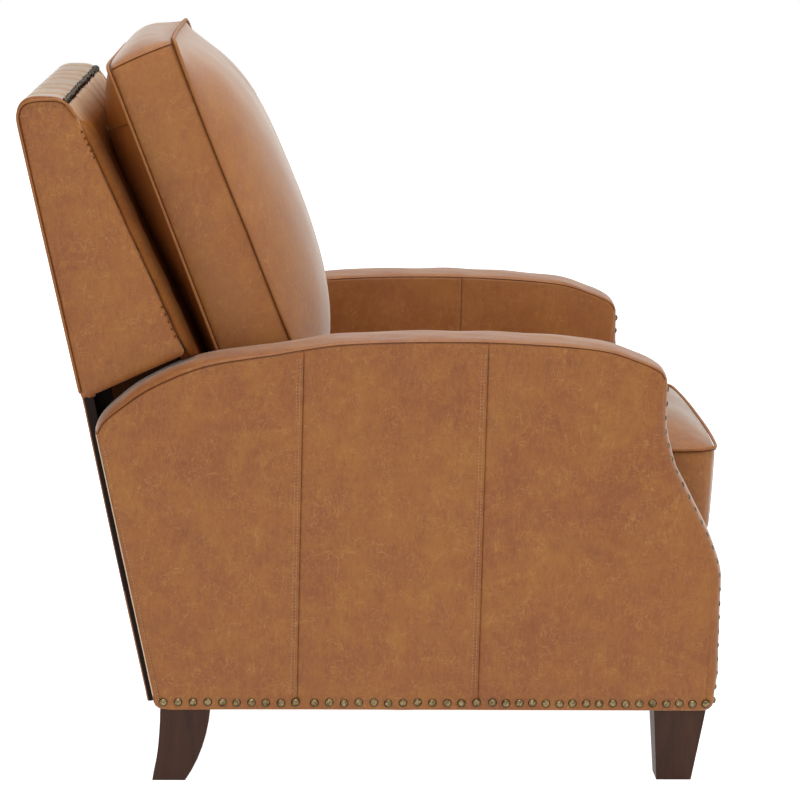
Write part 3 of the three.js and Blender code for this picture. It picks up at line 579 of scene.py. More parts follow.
arm = {
    "rearX": -0.390, "length": 0.8795, "bottomZ": 0.108, "height": 0.534, "inner": 0.275, "outer": 0.370,
    "heelShare": 0.0944, "heelTurn": 0.011, "heelShade": 0.002, "corner": 0.014,
    "shoulderX": -0.392, "shoulderLong": 0.25, "shoulderZ": 0.504,
    "frontX": 0.385, "frontLow": 0.13, "frontHigh": 0.582,
    "panelInset": 0.0026, "panelGap": 0.0004, "panelDepth": 0.012, "fullReach": 0.06,
    "edgeTuck": 0.0055, "edgeRadius": 0.0024, "seamTuck": 0.0018, "seamRadius": 0.0016, "bulge": 0.0012,
    "bandInset": 0.0010, "bandDrop": 0.0062, "bandCrown": 0.0024, "frontCrown": 0.0060, "rearCrown": 0.0048,
    "shoulderLift": 0.0075, "bandDepth": 0.013, "seamCord": 0.0007, "seamSink": 0.0006,
    "rimCord": 0.0009, "rimInset": 0.0012, "rimSink": 0.0026, "rearStitch": 0.0058, "stitchDrop": 0.003,
    "bandPower": 14, "wave": 0.00045, "pucker": 0.0003, "puckerReach": 0.010, "puckerPitch": 0.013,
    "nailZ": 0.1198, "nailDent": 0.0007, "dentWide": 0.007, "nailSink": 0.0004, "nailShift": 0.0005,
    "nailInset": 0.0118, "nailRise": 0.0017, "nailTop": 0.575, "frontNail": 0.8,
}
armTopShares = [
    [0, 0.745], [0.012, 0.775], [0.04, 0.809], [0.0864, 0.858], [0.166, 0.916], [0.2445, 0.949],
    [0.323, 0.975], [0.401, 0.992], [0.534, 1], [0.671, 0.997], [0.798, 0.981], [0.862, 0.951],
    [0.896, 0.925], [0.907, 0.902],
]
armFrontShares = [
    [0.907, 0.902], [0.907, 0.861], [0.903, 0.781], [0.908, 0.731], [0.921, 0.66], [0.9376, 0.606],
    [0.971, 0.4985], [0.986, 0.444], [0.9965, 0.39], [1, 0.335], [1, 0.171], [1, 0.04],
]
# Vertical seams, each from its foot to its top
armSeams = {"rear": [-0.1062, -0.1002], "front": [0.1512, 0.1568]}
# The lower nail rows between the seams: first and last place, and how many
armNailRows = [(-0.295, -0.1082, 10), (-0.0809, 0.1489, 12), (0.1724, 0.4776, 17)]
# Rows of top-stitching beside each seam, measured to its rear
stitchOffsets = [0.0048, 0.0094]


def armCurve(shares, count):
    points = np.array(shares) * [arm["length"], arm["height"]] + [arm["rearX"], arm["bottomZ"]]
    return smoothCurve(points, count)


# The arm's shoulder, where the top comes down to the heel: one in its middle and nothing at both ends
def onShoulder(curve):
    along = np.clip((curve[:, 0] - arm["shoulderX"]) / arm["shoulderLong"], 0, 1) ** 0.7
    return np.sin(math.pi * along) * np.clip((curve[:, 1] - arm["shoulderZ"]) / 0.01, 0, 1)


# The arm's front, between the nose and the toe: one there and nothing elsewhere
def onFront(curve):
    low = np.clip((curve[:, 1] - arm["frontLow"]) / 0.03, 0, 1)
    high = np.clip((arm["frontHigh"] - curve[:, 1]) / 0.05, 0, 1)
    return np.clip((curve[:, 0] - arm["frontX"]) / 0.02, 0, 1) * (low * high)


# A curve moved inwards by a distance. The curve runs clockwise round the arm
def insetCurve(curve, distance):
    return curve - distance * leftOf(unit(np.gradient(curve, axis=0)))


armTop = armCurve(armTopShares, 400)
armTop[:, 1] += arm["shoulderLift"] * onShoulder(armTop)
armFront = armCurve(armFrontShares, 240)
panelTop = insetCurve(armTop, arm["panelInset"])
panelFront = insetCurve(armFront, arm["panelInset"])
armHeel = np.array([arm["rearX"] + arm["heelShare"] * arm["length"], arm["bottomZ"]])
armToe = np.array([arm["rearX"] + arm["length"], arm["bottomZ"]])


# The rear edge, turned at its foot
def heelLine(foot, head):
    turn = turnedCorner(foot + [arm["heelTurn"], 0], foot, foot + unit(head - foot) * arm["heelTurn"], 9)
    return np.vstack([turn, head[None]])


# The whole side outline as one closed loop, with its lower corners rounded
def armLoop(count):
    rear = heelLine(armHeel, armTop[0])
    turn = np.linspace(0, math.pi / 2, 9)[:, None]
    centre = armToe + np.array([-1, 1]) * arm["corner"]
    toe = centre + arm["corner"] * np.hstack([np.cos(turn), -np.sin(turn)])
    front = armFront[armFront[:, 1] > arm["bottomZ"] + arm["corner"]]
    line = np.vstack([rear[:-1], armTop[:-1], front, toe, rear[:1]])
    return resample(line, np.linspace(0, 1, count, endpoint=False))


# The outward normal of a closed loop that runs clockwise in x and z
def loopNormals(line):
    return leftOf(unit(np.roll(line, -1, axis=0) - np.roll(line, 1, axis=0)))


# The boxing strip that runs round the arm: level across, crowned a little and turned down at both edges
def buildBand(sideName, side):
    line = armLoop(420)
    across = np.sin(np.linspace(-math.pi / 2, math.pi / 2, 44))
    half = (arm["outer"] - arm["inner"]) / 2 - arm["bandInset"]
    edge = (1 - np.abs(across) ** arm["bandPower"]) ** 0.5
    height = arm["bandCrown"] * (1 - across ** 2) - arm["bandDrop"] * (1 - edge)
    across = np.concatenate([across, np.linspace(0.99, -0.99, 8)])
    height = np.concatenate([height, np.full(8, -arm["bandDepth"])])
    grid = atLevel(line[:, None], side * (arm["inner"] + arm["outer"]) / 2 + half * across)
    swell = np.where(height > -arm["bandDrop"], 1 - across ** 4, 0)
    outside = height > -arm["bandDrop"] / 2
    crown = arm["frontCrown"] * onFront(line) + arm["rearCrown"] * onShoulder(line)
    height = height + arm["wave"] * 1.2 * unevenness(grid, 0.07, 5) * outside + crown[:, None] * swell
    grid = grid + height[..., None] * atLevel(loopNormals(line), 0.0)[:, None]
    band = loft(f"{sideName}ArmBand", grid, ring=True)
    dress(band, "leather", "base", f"{sideName}_arm_cover")

    # The heel's own face lies in the shade of the rear skirt
    heel = np.array([armHeel, armTop[0]]) + [arm["heelShade"], 0]
    secondLook(band, "shadeLeather", lambda centres: (centres[:, 2] < heel[1, 1])
               & (centres[:, 0] < np.interp(centres[:, 2], heel[:, 1], heel[:, 0])))


def seamLine(name, v):
    foot, head = armSeams[name]
    topZ = np.interp(head, panelTop[:, 0], panelTop[:, 1])
    return np.stack([foot + (head - foot) * v, arm["bottomZ"] + (topZ - arm["bottomZ"]) * v], axis=1)


def topBetween(lowX, highX, u):
    inside = panelTop[(panelTop[:, 0] > lowX) & (panelTop[:, 0] < highX)]
    ends = [[x, np.interp(x, panelTop[:, 0], panelTop[:, 1])] for x in (lowX, highX)]
    return resample(np.vstack([ends[0], inside, ends[1]]), u)


# Height of a side panel's leather over its level face: rounded at its four borders, a little full in
# the middle, uneven, puckered beside the seams and dented along the nails
def panelRelief(flat, u, v, seamLeft, seamRight, seed):
    width = np.linalg.norm(flat[:, -1] - flat[:, 0], axis=1)[:, None]
    height = np.linalg.norm(flat[-1] - flat[0], axis=1)[None, :]
    borders = {"left": u[None, :] * width, "right": (1 - u[None, :]) * width,
               "bottom": v[:, None] * height, "top": (1 - v[:, None]) * height}
    relief = np.zeros(flat.shape[:2])
    full = np.ones(flat.shape[:2])
    for border, distance in borders.items():
        isSeam = (border == "left" and seamLeft) or (border == "right" and seamRight)
        tuck = arm["seamTuck"] if isSeam else arm["edgeTuck"]
        radius = arm["seamRadius"] if isSeam else arm["edgeRadius"]
        rounded = edgeRound(distance, radius)
        relief = np.minimum(relief, -tuck * (1 - rounded))
        full = full * edgeRound(distance, arm["fullReach"])
        if isSeam or border == "top":
            wrinkle = np.sin(2 * math.pi * flat[..., 1 if isSeam else 0] / arm["puckerPitch"]
                             + 2.2 * unevenness(flat, 0.05, seed + 7))
            relief = relief + arm["pucker"] * wrinkle * np.exp(-distance / arm["puckerReach"]) * rounded
    dent = np.exp(-((flat[..., 1] - arm["nailZ"]) / arm["dentWide"]) ** 2)
    return (relief + full * (arm["bulge"] + arm["wave"] * unevenness(flat, 0.09, seed))
            - arm["nailDent"] * dent)


def buildPanel(name, side, facing, left, right, lowX, highX, seamLeft, seamRight, seed):
    u, v = endDense(84), endDense(96)
    top = topBetween(lowX, highX, u)
    leftLine, rightLine = left(v), right(v)
    leftLine[-1], rightLine[-1] = top[0], top[-1]
    bottom = np.linspace(leftLine[0], rightLine[0], len(u))
    flat = coons(bottom, top, leftLine, rightLine, u, v)
    middle = flat.reshape(-1, 2).mean(0)
    flat = middle + (flat - middle) * (1 - arm["panelGap"] / np.ptp(flat[..., 0]))
    relief = panelRelief(flat, u, v, seamLeft, seamRight, seed)
    # The inner panels take the leather lightened as painted light
    face, look = ("outer", "leather") if facing == side else ("inner", "paintedLightLeather")
    level = side * arm[face]
    panel = slab(name, atLevel(flat, level + facing * relief),
                 atLevel(flat, level - facing * arm["panelDepth"]))
    dress(panel, look, "base")


def rearEdge(v):
    return resample(heelLine(armHeel + [arm["panelInset"], 0], panelTop[0]), v)


# The front border of the front panel, from the toe's corner up to the tip
def frontEdge(v):
    loopStart = armToe + np.array([-arm["corner"], 0])
    turn = np.linspace(-math.pi / 2, 0, 9)[:, None]
    centre = armToe + np.array([-1, 1]) * arm["corner"]
    toe = centre + (arm["corner"] - arm["panelInset"]) * np.hstack([np.cos(turn), np.sin(turn)])
    front = panelFront[::-1]
    front = front[front[:, 1] > arm["bottomZ"] + arm["corner"]]
    return resample(np.vstack([loopStart[None], toe, front]), v)


def buildArmPanels(sideName, side):
    rearSeam = lambda v: seamLine("rear", v)
    frontSeam = lambda v: seamLine("front", v)
    tipX = panelTop[-1][0]
    rearTop, frontTop = armSeams["rear"][1], armSeams["front"][1]
    outer = [("Rear", rearEdge, rearSeam, panelTop[0][0], rearTop, False, True),
             ("Middle", rearSeam, frontSeam, rearTop, frontTop, True, True),
             ("Front", frontSeam, frontEdge, frontTop, tipX, True, False)]
    inner = [("Rear", rearEdge, frontSeam, panelTop[0][0], frontTop, False, True),
             ("Front", frontSeam, frontEdge, frontTop, tipX, True, False)]
    for face, facing, panels, seed in (("Outer", side, outer, 20), ("Inner", -side, inner, 30)):
        for i, (part, *borders) in enumerate(panels):
            buildPanel(f"{sideName}Arm{face}{part}", side, facing, *borders, seed + i)


# A thin dark cord lies in the crease between the top strip and each side panel: painted shade
def buildArmCreases(sideName, side):
    line = resample(panelTop, np.linspace(0, 1, 300))
    for part, y in (("Outer", arm["outer"] - arm["seamSink"]), ("Inner", arm["inner"] + arm["seamSink"])):
        cord(f"{sideName}Arm{part}Crease", atLevel(line, side * y), arm["seamCord"], "seamDarkAndShadeLeather", "base")

    # A thin pale cord down the outer rear corner is a painted highlight, where the leather's edge catches the light
    line = insetCurve(heelLine(armHeel, armTop[0]), arm["rimInset"])
    path = atLevel(resample(line, np.linspace(0.06, 1, 120)), side * (arm["outer"] - arm["rimSink"]))
    cord(f"{sideName}ArmRearRim", path, arm["rimCord"], "paintedHighlightLeather", "base")


def buildArmNails(sideName, side):
    row = np.concatenate([np.linspace(low, high, count) for low, high, count in armNailRows])
    row = np.stack([row, np.full(len(row), arm["nailZ"])], axis=1)
    places = atLevel(row, side * (arm["outer"] - arm["nailSink"]))
    dice = np.random.default_rng(11 + side)
    places[:, [0, 2]] += dice.normal(scale=arm["nailShift"], size=(len(places), 2))
    nailRow(f"{sideName}ArmLowerNails", places, np.tile([0.0, side, 0.0], (len(places), 1)), "base", 3)

    # Down both edges of the front strip, from under the tip to the toe
    line = np.vstack([armFront[armFront[:, 1] < arm["nailTop"]], armToe + [0, arm["corner"]]])
    shares = np.linspace(0, 1, int(lengthOf(line) / nailSize["pitch"]))
    ahead, behind = (resample(line, np.clip(shares + step, 0, 1)) for step in (0.004, -0.004))
    normal = unit(leftOf(ahead - behind))
    spots = resample(line, shares)
    spots = spots + normal * (0.0002 + arm["nailRise"] * onFront(spots))[:, None]
    for edge, y in (("Outer", arm["outer"] - arm["nailInset"]), ("Inner", arm["inner"] + arm["nailInset"])):
        nailRow(f"{sideName}ArmFront{edge}Nails", atLevel(spots, side * y), atLevel(normal, 0.0), "base", 5,
                arm["frontNail"])


def buildArmStitches(sideName, side):
    v = np.linspace(0.05, 0.985, 60)
    rows = {f"{seam.title()}Stitch{i + 1}": seamLine(seam, v) - [offset, arm["stitchDrop"]]
            for seam in armSeams for i, offset in enumerate(stitchOffsets)}
    rows["RearStitch"] = rearEdge(np.linspace(0.05, 0.97, 40)) + [arm["rearStitch"], 0]
    for name, line in rows.items():
        path = atLevel(line, side * (arm["outer"] + 0.0001))
        stitchRow(f"{sideName}Arm{name}", path, np.tile([0.0, side, 0.0], (len(line), 1)), "base")


for sideName, side in sides.items():
    buildBand(sideName, side)
    buildArmPanels(sideName, side)
    buildArmCreases(sideName, side)
    buildArmNails(sideName, side)
    buildArmStitches(sideName, side)
print("arms dressed")

# Back shell

shell = {
    "half": 0.335, "wing": 0.028, "topRear": (-0.503, 0.965), "topFront": (-0.414, 0.975),
    "footFront": (-0.246, 0.613), "footRear": (-0.411, 0.547), "turns": (0.005, 0.006, 0.022, 0.032),
    "edge": 0.006, "bulge": 0.0025, "panelFoot": 0.0185, "panelHead": 0.0146, "panelLift": 0.009,
    "rollWide": 0.024, "rollShadeReach": 0.0115, "rollSink": 0.012,
    "rollShort": 0.026, "rollStart": 0.002, "rollLift": 0.0014, "rollTall": 0.0022, "rollTuck": 0.0016,
    "rollEnd": 0.05, "rollBend": 0.82,
    "welt": 0.0019, "weltSink": 0.0004, "weltEnd": (0.03, 0.0004), "crease": 0.0007, "creaseSink": 0.0003,
    "creaseInset": 0.0026, "creaseShort": 7,
    # Each group of tacks has a start and an end along the front edge
    "tacks": ((0.038, 0.083), (0.311, 0.350)), "tackScale": 0.28, "tackInset": 0.0014, "tackSink": 0.0012,
    "rear": 0.016, "rearBulge": 0.007, "rearRun": 0.42, "rearEnds": ((0.003, 0.002), (0.0055, -0.022)),
    "topThick": 0.014, "topCrown": 0.004, "topEdge": 0.0045, "topOut": 0.0012,
    "topDown": 0.03, "topIn": 0.0015, "topRound": 0.0022, "faceEase": 0.42,
    "pleats": 7, "pleatDeep": 0.0056, "pleatWide": 0.008, "pleatsIn": 0.06,
    "setBack": 0.008, "innerThick": 0.022, "below": 0.15, "narrow": 0.264, "narrowRun": 0.02,
    "topNailPitch": 0.0165, "topNailIn": 0.006, "topNail": 0.86, "faceDeep": 0.05, "faceWide": 0.331,
    # The turn of the pleated face over the wing's corner: three places beside the nails
    "faceTurn": ((-0.003, -0.002), (0.0045, -0.0045), (0.0125, -0.0135)),
    "gusset": 0.2665, "gussetEnds": ((0.008, 0.012), (-0.030, -0.006)), "gussetDrop": (0.018, -0.085),
    "gussetThick": 0.0012, "gussetShadeStart": -0.372,
}
corners = {name: np.array(shell[name]) for name in ("topRear", "topFront", "footFront", "footRear")}
edgeRun = corners["topFront"] - corners["footFront"]
edgeLength = np.linalg.norm(edgeRun)
upBack = edgeRun / edgeLength
forward = np.array([upBack[1], -upBack[0]])


def backPoint(climb, depth):
    return corners["footFront"] + upBack * climb - forward * depth


# A polygon with each corner turned by a curve, from one radius before it to one radius after it
def roundedLoop(points, radii, count):
    pieces = []
    befores, afters = (np.roll(points, step, axis=0) for step in (1, -1))
    for before, corner, after, radius in zip(befores, points, afters, radii):
        start, end = (corner + unit(other - corner) * radius for other in (before, after))
        pieces.append(turnedCorner(start, corner, end, 10))
    line = np.vstack(pieces + [pieces[0][:1]])
    return resample(line, np.linspace(0, 1, count, endpoint=False))


# A flat pad between two places across the chair, with rounded edges and full faces
def sidePad(name, loop, low, high, edge, bulge, power=16, rings=22):
    share = np.sin(np.linspace(0, math.pi / 2, rings + 1))[1:]
    drop = edge * (1 - (1 - share ** power) ** 0.5) - bulge * (1 - share ** 2)
    scales = np.concatenate([share, share[::-1]])
    levels = np.concatenate([low + drop, (high - drop)[::-1]])
    middle = loop.mean(0)
    flat = middle + (loop[None] - middle) * scales[:, None, None]
    sections = atLevel(flat, levels[:, None])
    sections[..., 1] += 0.0006 * unevenness(sections, 0.08, 41)
    return loft(name, sections)


panelFoot = corners["footFront"] - forward * shell["panelFoot"] + upBack * shell["panelLift"]
panelHead = corners["topFront"] - forward * shell["panelHead"]
wingLoop = roundedLoop(np.array([corners["footRear"], panelFoot, panelHead, corners["topRear"]]),
                       shell["turns"], 260)
# The part of the wing's outline up the rear edge and over the top, to the middle of the front corner
wingOver = wingLoop[np.argmin(np.linalg.norm(wingLoop - panelHead, axis=1)):][::-1]

# Painted shade on the roll: a brown tint all over, and a darker one towards its forward side, deeper in the gap
looks["paintedShadeRollLeather"] = tintedLeather("paintedShadeRollLeather", [
    (srgb(96, 50, 24), 0.38),
    (srgb(44, 20, 9), ((forward[0], 0, forward[1]), corners["footFront"] @ forward - shell["rollShadeReach"],
                       corners["footFront"] @ forward + 0.002, 0.9))], 1.15)


def buildWing(sideName, side):
    low, high = sorted((side * (shell["half"] - shell["wing"]), side * shell["half"]))
    wing = sidePad(f"{sideName}Wing", wingLoop, low, high, shell["edge"], shell["bulge"])
    dress(wing, "leather", "back", "back_shell")

    # The roll along the wing's front edge sinks back towards its head
    share = np.linspace(0, 1, 90)[:, None]
    deep = (shell["panelFoot"] + (shell["panelHead"] - shell["panelFoot"]) * share) / 2
    climb = share * (edgeLength - shell["rollShort"]) - shell["rollStart"]
    centre = corners["footFront"] + upBack * climb - forward * (deep + shell["rollLift"])
    bend = np.clip((share - shell["rollBend"]) / 0.18, 0, 1)
    centre = centre - forward * shell["rollSink"] * bend ** 2
    path = atLevel(centre, side * (shell["half"] - shell["rollWide"] - shell["rollTuck"]))
    path += 0.0007 * unevenness(path, 0.05, 43)[:, None] * np.array([forward[0], 0, forward[1]])
    roll = tube(f"{sideName}WingRoll", path, acrossY, (shell["rollWide"], deep.mean() + shell["rollTall"]),
                sides=32, endRun=shell["rollEnd"])
    dress(roll, "paintedShadeRollLeather", "back")

    # The welt up the rear edge, over the top and round the front corner, with a dark cord of painted shade in the
    # crease inside it
    down, out = shell["weltEnd"]
    turned = np.linspace(wingOver[-1], panelHead - upBack * down + forward * out, 9)
    line = smoothTurn(np.vstack([wingOver, turned[1:]]), 4)
    welt = atLevel(line, side * (shell["half"] - shell["weltSink"]))
    cord(f"{sideName}WingWelt", welt, shell["welt"], "pipingLeather", "back", sides=10)
    line = insetCurve(line[:-shell["creaseShort"]], shell["creaseInset"])
    crease = atLevel(line, side * (shell["half"] - shell["creaseSink"]))
    cord(f"{sideName}WingCrease", crease, shell["crease"], "seamDarkAndShadeLeather", "back", sides=10)

    # Two groups of small tacks beside the roll
    climb = np.concatenate([np.linspace(start, end, 5) for start, end in shell["tacks"]])[:, None]
    inset = shell["panelFoot"] + (shell["panelHead"] - shell["panelFoot"]) * climb / edgeLength
    spots = corners["footFront"] + upBack * climb - forward * (inset + shell["tackInset"])
    places = atLevel(spots, side * (shell["half"] - shell["tackSink"]))
    nailRow(f"{sideName}WingTacks", places, np.tile([0.3, side, 0.1], (len(places), 1)), "back", 8,
            shell["tackScale"], "seamDarkAndShadeLeather")

    # A gusset hangs inside the arm, under the wing and behind the inner back
    rear, front = shell["gussetEnds"]
    head = np.linspace(corners["footRear"] + rear, corners["footFront"] + front, 30)
    foot = head + np.array(shell["gussetDrop"])
    v = np.linspace(0, 1, 30)[:, None, None]
    flat = head[None] * (1 - v) + foot[None] * v
    level = side * shell["gusset"] + 0.001 * unevenness(flat, 0.06, 47)
    gusset = slab(f"{sideName}Gusset", atLevel(flat, level), atLevel(flat, level + shell["gussetThick"]))
    # The gusset is darkened as painted shade, and near black towards its rear
    dress(gusset, "paintedShadeLeather", "back")
    secondLook(gusset, "paintedShadeBlack", lambda centres: centres[:, 0] < shell["gussetShadeStart"])


# Rounds the corners of a line by averaging each point with its neighbours a few times
def smoothTurn(line, times=12):
    for _ in range(times):
        line[1:-1] = (line[:-2] + 2 * line[1:-1] + line[2:]) / 4
    return line


# Pleats: valleys across the chair at uneven places, which wander along their length
def pleatRelief(y, run, strength):
    relief = np.zeros(np.broadcast(y, run).shape)
    spots = np.linspace(-1, 1, shell["pleats"]) * (shell["half"] - shell["pleatsIn"])
    for i, spot in enumerate(spots):
        wander = 0.007 * np.sin(run * 21 + i * 1.9) + 0.008 * math.sin(i * 2.4)
        distance = np.abs(y - spot - wander)
        relief = relief - shell["pleatDeep"] * np.exp(-(distance / shell["pleatWide"]) ** 1.3)
    return relief * strength


# A sheet of leather over padding, from a line in x and z and a width that may change along it
def sweptSheet(name, line, halfWidths, thickness, relief, edge=0.005):
    u = endDense(150) * 2 - 1
    normal = leftOf(unit(np.gradient(line, axis=0)))
    y = u[None, :] * halfWidths[:, None]
    run = runAlong(line)
    border = (edgeRound(halfWidths[:, None] - np.abs(y), edge)
              * edgeRound(np.minimum(run, run[-1] - run), edge)[:, None])
    height = relief(y, run[:, None]) * border - thickness * 0.4 * (1 - border)
    front = atLevel(line[:, None] + normal[:, None] * height[..., None], y)
    return slab(name, front, atLevel((line - normal * thickness)[:, None], y))


# The top follows the wings' outline from below the rear corner, a little outside it and fuller between.
# Its pleats run from front to rear, and the nails stand where it turns down
def buildShellTop():
    line = wingOver[wingOver[:, 1] > corners["topRear"][1] - shell["topDown"]]
    line = insetCurve(resample(line, np.linspace(0, 1, 60)), -shell["topOut"])
    line[:, 1] += shell["topCrown"] * np.sin(math.pi * np.linspace(0, 1, 60))
    top = sweptSheet("shellTop", line, np.full(60, shell["half"] - shell["topIn"]), shell["topThick"],
                     lambda y, run: pleatRelief(y, run, 0.7), shell["topRound"])
    # Its middle is paled as painted sheen, and its two edges keep the plain leather
    dress(top, "paintedSheenTopLeather", "back")
    secondLook(top, "leather", lambda centres: np.abs(centres[:, 1]) > shell["half"] - shell["topEdge"])
    count = int(2 * shell["half"] / shell["topNailPitch"])
    places = atLevel(line[[-2]], np.linspace(-1, 1, count) * (shell["half"] - shell["topNailIn"]))
    places += np.random.default_rng(19).normal(scale=0.0006, size=places.shape)
    nailRow("shellTopNails", places, np.tile([0.64, 0.0, 0.77], (count, 1)), "back", 13,
            shell["topNail"], "darkBrass")


# From under the nails the pleated face bends down over the wings' front corners, then runs between them
def buildInnerBack():
    climb = np.concatenate([np.linspace(edgeLength - shell["faceDeep"], 0, 110),
                            np.linspace(-0.004, -shell["below"], 40)])
    line = np.array([backPoint(c, shell["setBack"] - 0.001) for c in climb])
    turn = [wingOver[-1] + place for place in shell["faceTurn"]]
    bend = smoothCurve([*turn, line[0] + (turn[-1] - line[0]) * shell["faceEase"], line[0]], 40)
    head = np.linspace(1, 0, len(bend))[:-1]
    blend = np.clip(-climb / shell["narrowRun"], 0, 1)
    between = shell["half"] - shell["wing"] - 0.001
    wide = np.concatenate([between + (shell["faceWide"] - between) * np.sqrt(head),
                           between * (1 - blend) + shell["narrow"] * blend])

    def relief(y, run):
        return pleatRelief(y, run, np.exp(-run / 0.11)) + 0.0005 * np.sin(run * 60 + y * 11)

    inner = sweptSheet("innerBack", np.vstack([bend[:-1], line]), wide, shell["innerThick"], relief)
    # Its leather is painted with shade low in the gap and with sheen at the top
    dress(inner, "paintedShadeSheenGapLeather", "back", "inside_back")


# Full in the middle: a parabola across the chair times a sine up it, with two small waves
def buildOutsideBack():
    foot, head = shell["rearEnds"]
    line = smoothCurve(np.linspace(corners["footRear"] + foot, corners["topRear"] + head, 6), 90)

    def fullness(y, run):
        full = shell["rearBulge"] * (1 - (y / shell["half"]) ** 2)
        full = full * np.sin(np.clip(run / shell["rearRun"], 0, 1) * math.pi)
        return full + 0.0007 * np.sin(y * 23 + run * 9) * np.cos(run * 31)

    rear = sweptSheet("outsideBack", line, np.full(len(line), shell["half"] - 0.003), shell["rear"], fullness)
    dress(rear, "leather", "back")


for sideName, side in sides.items():
    buildWing(sideName, side)
buildShellTop()
buildInnerBack()
buildOutsideBack()
print("back shell dressed")

# Cushions

# What at least two of the three cushions have in common
plainCushion = {
    "width": 0.532, "bow": 0.0, "underTop": 0.0, "underFoot": 0.0, "underPower": 2.4, "rearBulge": 0.002,
    "frontBulge": 0.002, "taper": 0.0, "thin": 0.0, "cornerDrop": 0.0, "cords": ("Lower", "Upper"),
}
cushions = {
    "seat": {**plainCushion, "look": "paleLeather", "node": "seat_cushion", "body": "seat",
             "length": 0.641, "thickness": 0.122, "crown": 0.036, "pull": 0.012, "crownPower": 13.0,
             "topPower": 1.6, "sidePower": 5.0, "bow": 0.013, "sideBulge": 0.004, "cornerPower": 24, "taper": 0.006,
             "ear": 0.002, "middle": (0.1765, 0.4044), "lean": math.pi / 2, "cord": 0.0025,
             "cords": ("Upper",), "wrinkle": 0.0003, "fill": 0.55},
    # The back cushion wears the leather lightened as painted light
    "back": {**plainCushion, "look": "paintedLightLeather", "node": "back_cushion", "body": "back", "length": 0.582,
             "thickness": 0.101, "crown": 0.078, "pull": 0.014, "crownPower": 3.0, "topPower": 4.2,
             "sidePower": 3.0, "underTop": 0.056, "underFoot": 0.012, "underPower": 6.0, "rearBulge": 0.020,
             "sideBulge": 0.005, "cornerPower": 30, "thin": 0.009, "ear": 0.006, "cornerDrop": 0.006,
             "cord": 0.0026, "wrinkle": 0.0008, "fill": 0.4},
    "footrest": {**plainCushion, "look": "paleLeather", "node": "footrest_pad", "body": "footrest",
                 "length": 0.212, "thickness": 0.041, "crown": 0.006, "pull": 0.010, "crownPower": 2.4,
                 "topPower": 2.4, "sidePower": 4.0, "sideBulge": 0.002, "cornerPower": 26, "ear": 0.0,
                 "middle": (0.4605, 0.226), "lean": 0.0, "cord": 0.0024, "wrinkle": 0.0005, "fill": 0.6},
}
cushionGrid = {"loop": 288, "face": 46, "boxing": 14, "seam": 520}
# The back cushion leans a few degrees less than the shell, and stands between two places along it
backPlace = {"turn": 3.85, "sink": 0.0285, "low": 0.162, "high": 0.420, "seam": 0.69}
backLean = math.atan2(-upBack[0], upBack[1]) - math.radians(backPlace["turn"])
backUp = np.array([-math.sin(backLean), math.cos(backLean)])
backOut = np.array([math.cos(backLean), math.sin(backLean)])
backMiddle = (backPoint(0, shell["setBack"] - backPlace["sink"])
              + backUp * (backPlace["high"] - backPlace["low"]) / 2)
cushions["back"]["lean"] = backLean
cushions["back"]["middle"] = tuple(backMiddle + backOut * cushions["back"]["thickness"] / 2)


def falling(share, power):
    return 1 - np.abs(share) ** power


# A square loop whose corners are rounded by a high power of both shares
def squareLoop(count, power):
    share = np.arange(count) / count * 4
    side = share.astype(int)
    run = 2 * (share - side) - 1
    a = np.choose(side, [np.ones(count), -run, -np.ones(count), run])
    b = np.choose(side, [run, np.ones(count), -run, -np.ones(count)])
    turned = (np.abs(a) ** power + np.abs(b) ** power) ** (-1 / power)
    return a * turned, b * turned


# A box cushion about the middle of its thickness. Both faces swell by the product of two falling powers
# of the shares along and across, the seams draw in between the corners, and the boxing swells as a sine
def cushionPoints(size, a, b, rise, face):
    fallA, fallB = falling(a, size["crownPower"]), falling(b, size["topPower"])
    swell = np.sin(math.pi * rise)
    endBulge = np.where(a > 0, size["frontBulge"], -size["rearBulge"])
    taper = np.where(a > 0, size["taper"] * a * (1 - rise), 0)
    x = a * (1 - size["pull"] * fallB) * size["length"] / 2 + swell * endBulge * fallB * a * a - taper
    x = x + np.where(a < 0, size["cornerDrop"] * (1 - rise) * np.abs(a) ** 8 * np.abs(b) ** 6, 0)
    x = x + size["bow"] * falling(b, 2.2) * np.maximum(a, 0) ** 3
    y = b * (1 - size["pull"] * fallA) * size["width"] / 2
    y = y + swell * np.sign(b) * size["sideBulge"] * fallA * b * b
    ear = size["ear"] * (a * a) * (b * b)
    crownA = np.where(a < 0, falling(a, size["topPower"]), fallA)
    crown = size["crown"] * crownA * falling(b, size["sidePower"])
    under = size["underTop"] + (size["underFoot"] - size["underTop"]) * (a + 1) / 2
    under = under * falling(a, size["underPower"]) * falling(b, size["underPower"])
    z = (rise - 0.5) * size["thickness"] - size["thin"] * rise * np.maximum(-a, 0)
    z = (z + np.where(face > 0, crown + ear, 0) - np.where(face < 0, under, 0)
         + np.where(face == 0, ear * rise, 0))
    return np.stack([x, y, z], axis=-1)


puckers = {"pitch": 0.017, "boxingReach": 0.16, "faceReach": 0.09, "seamReach": 0.02}


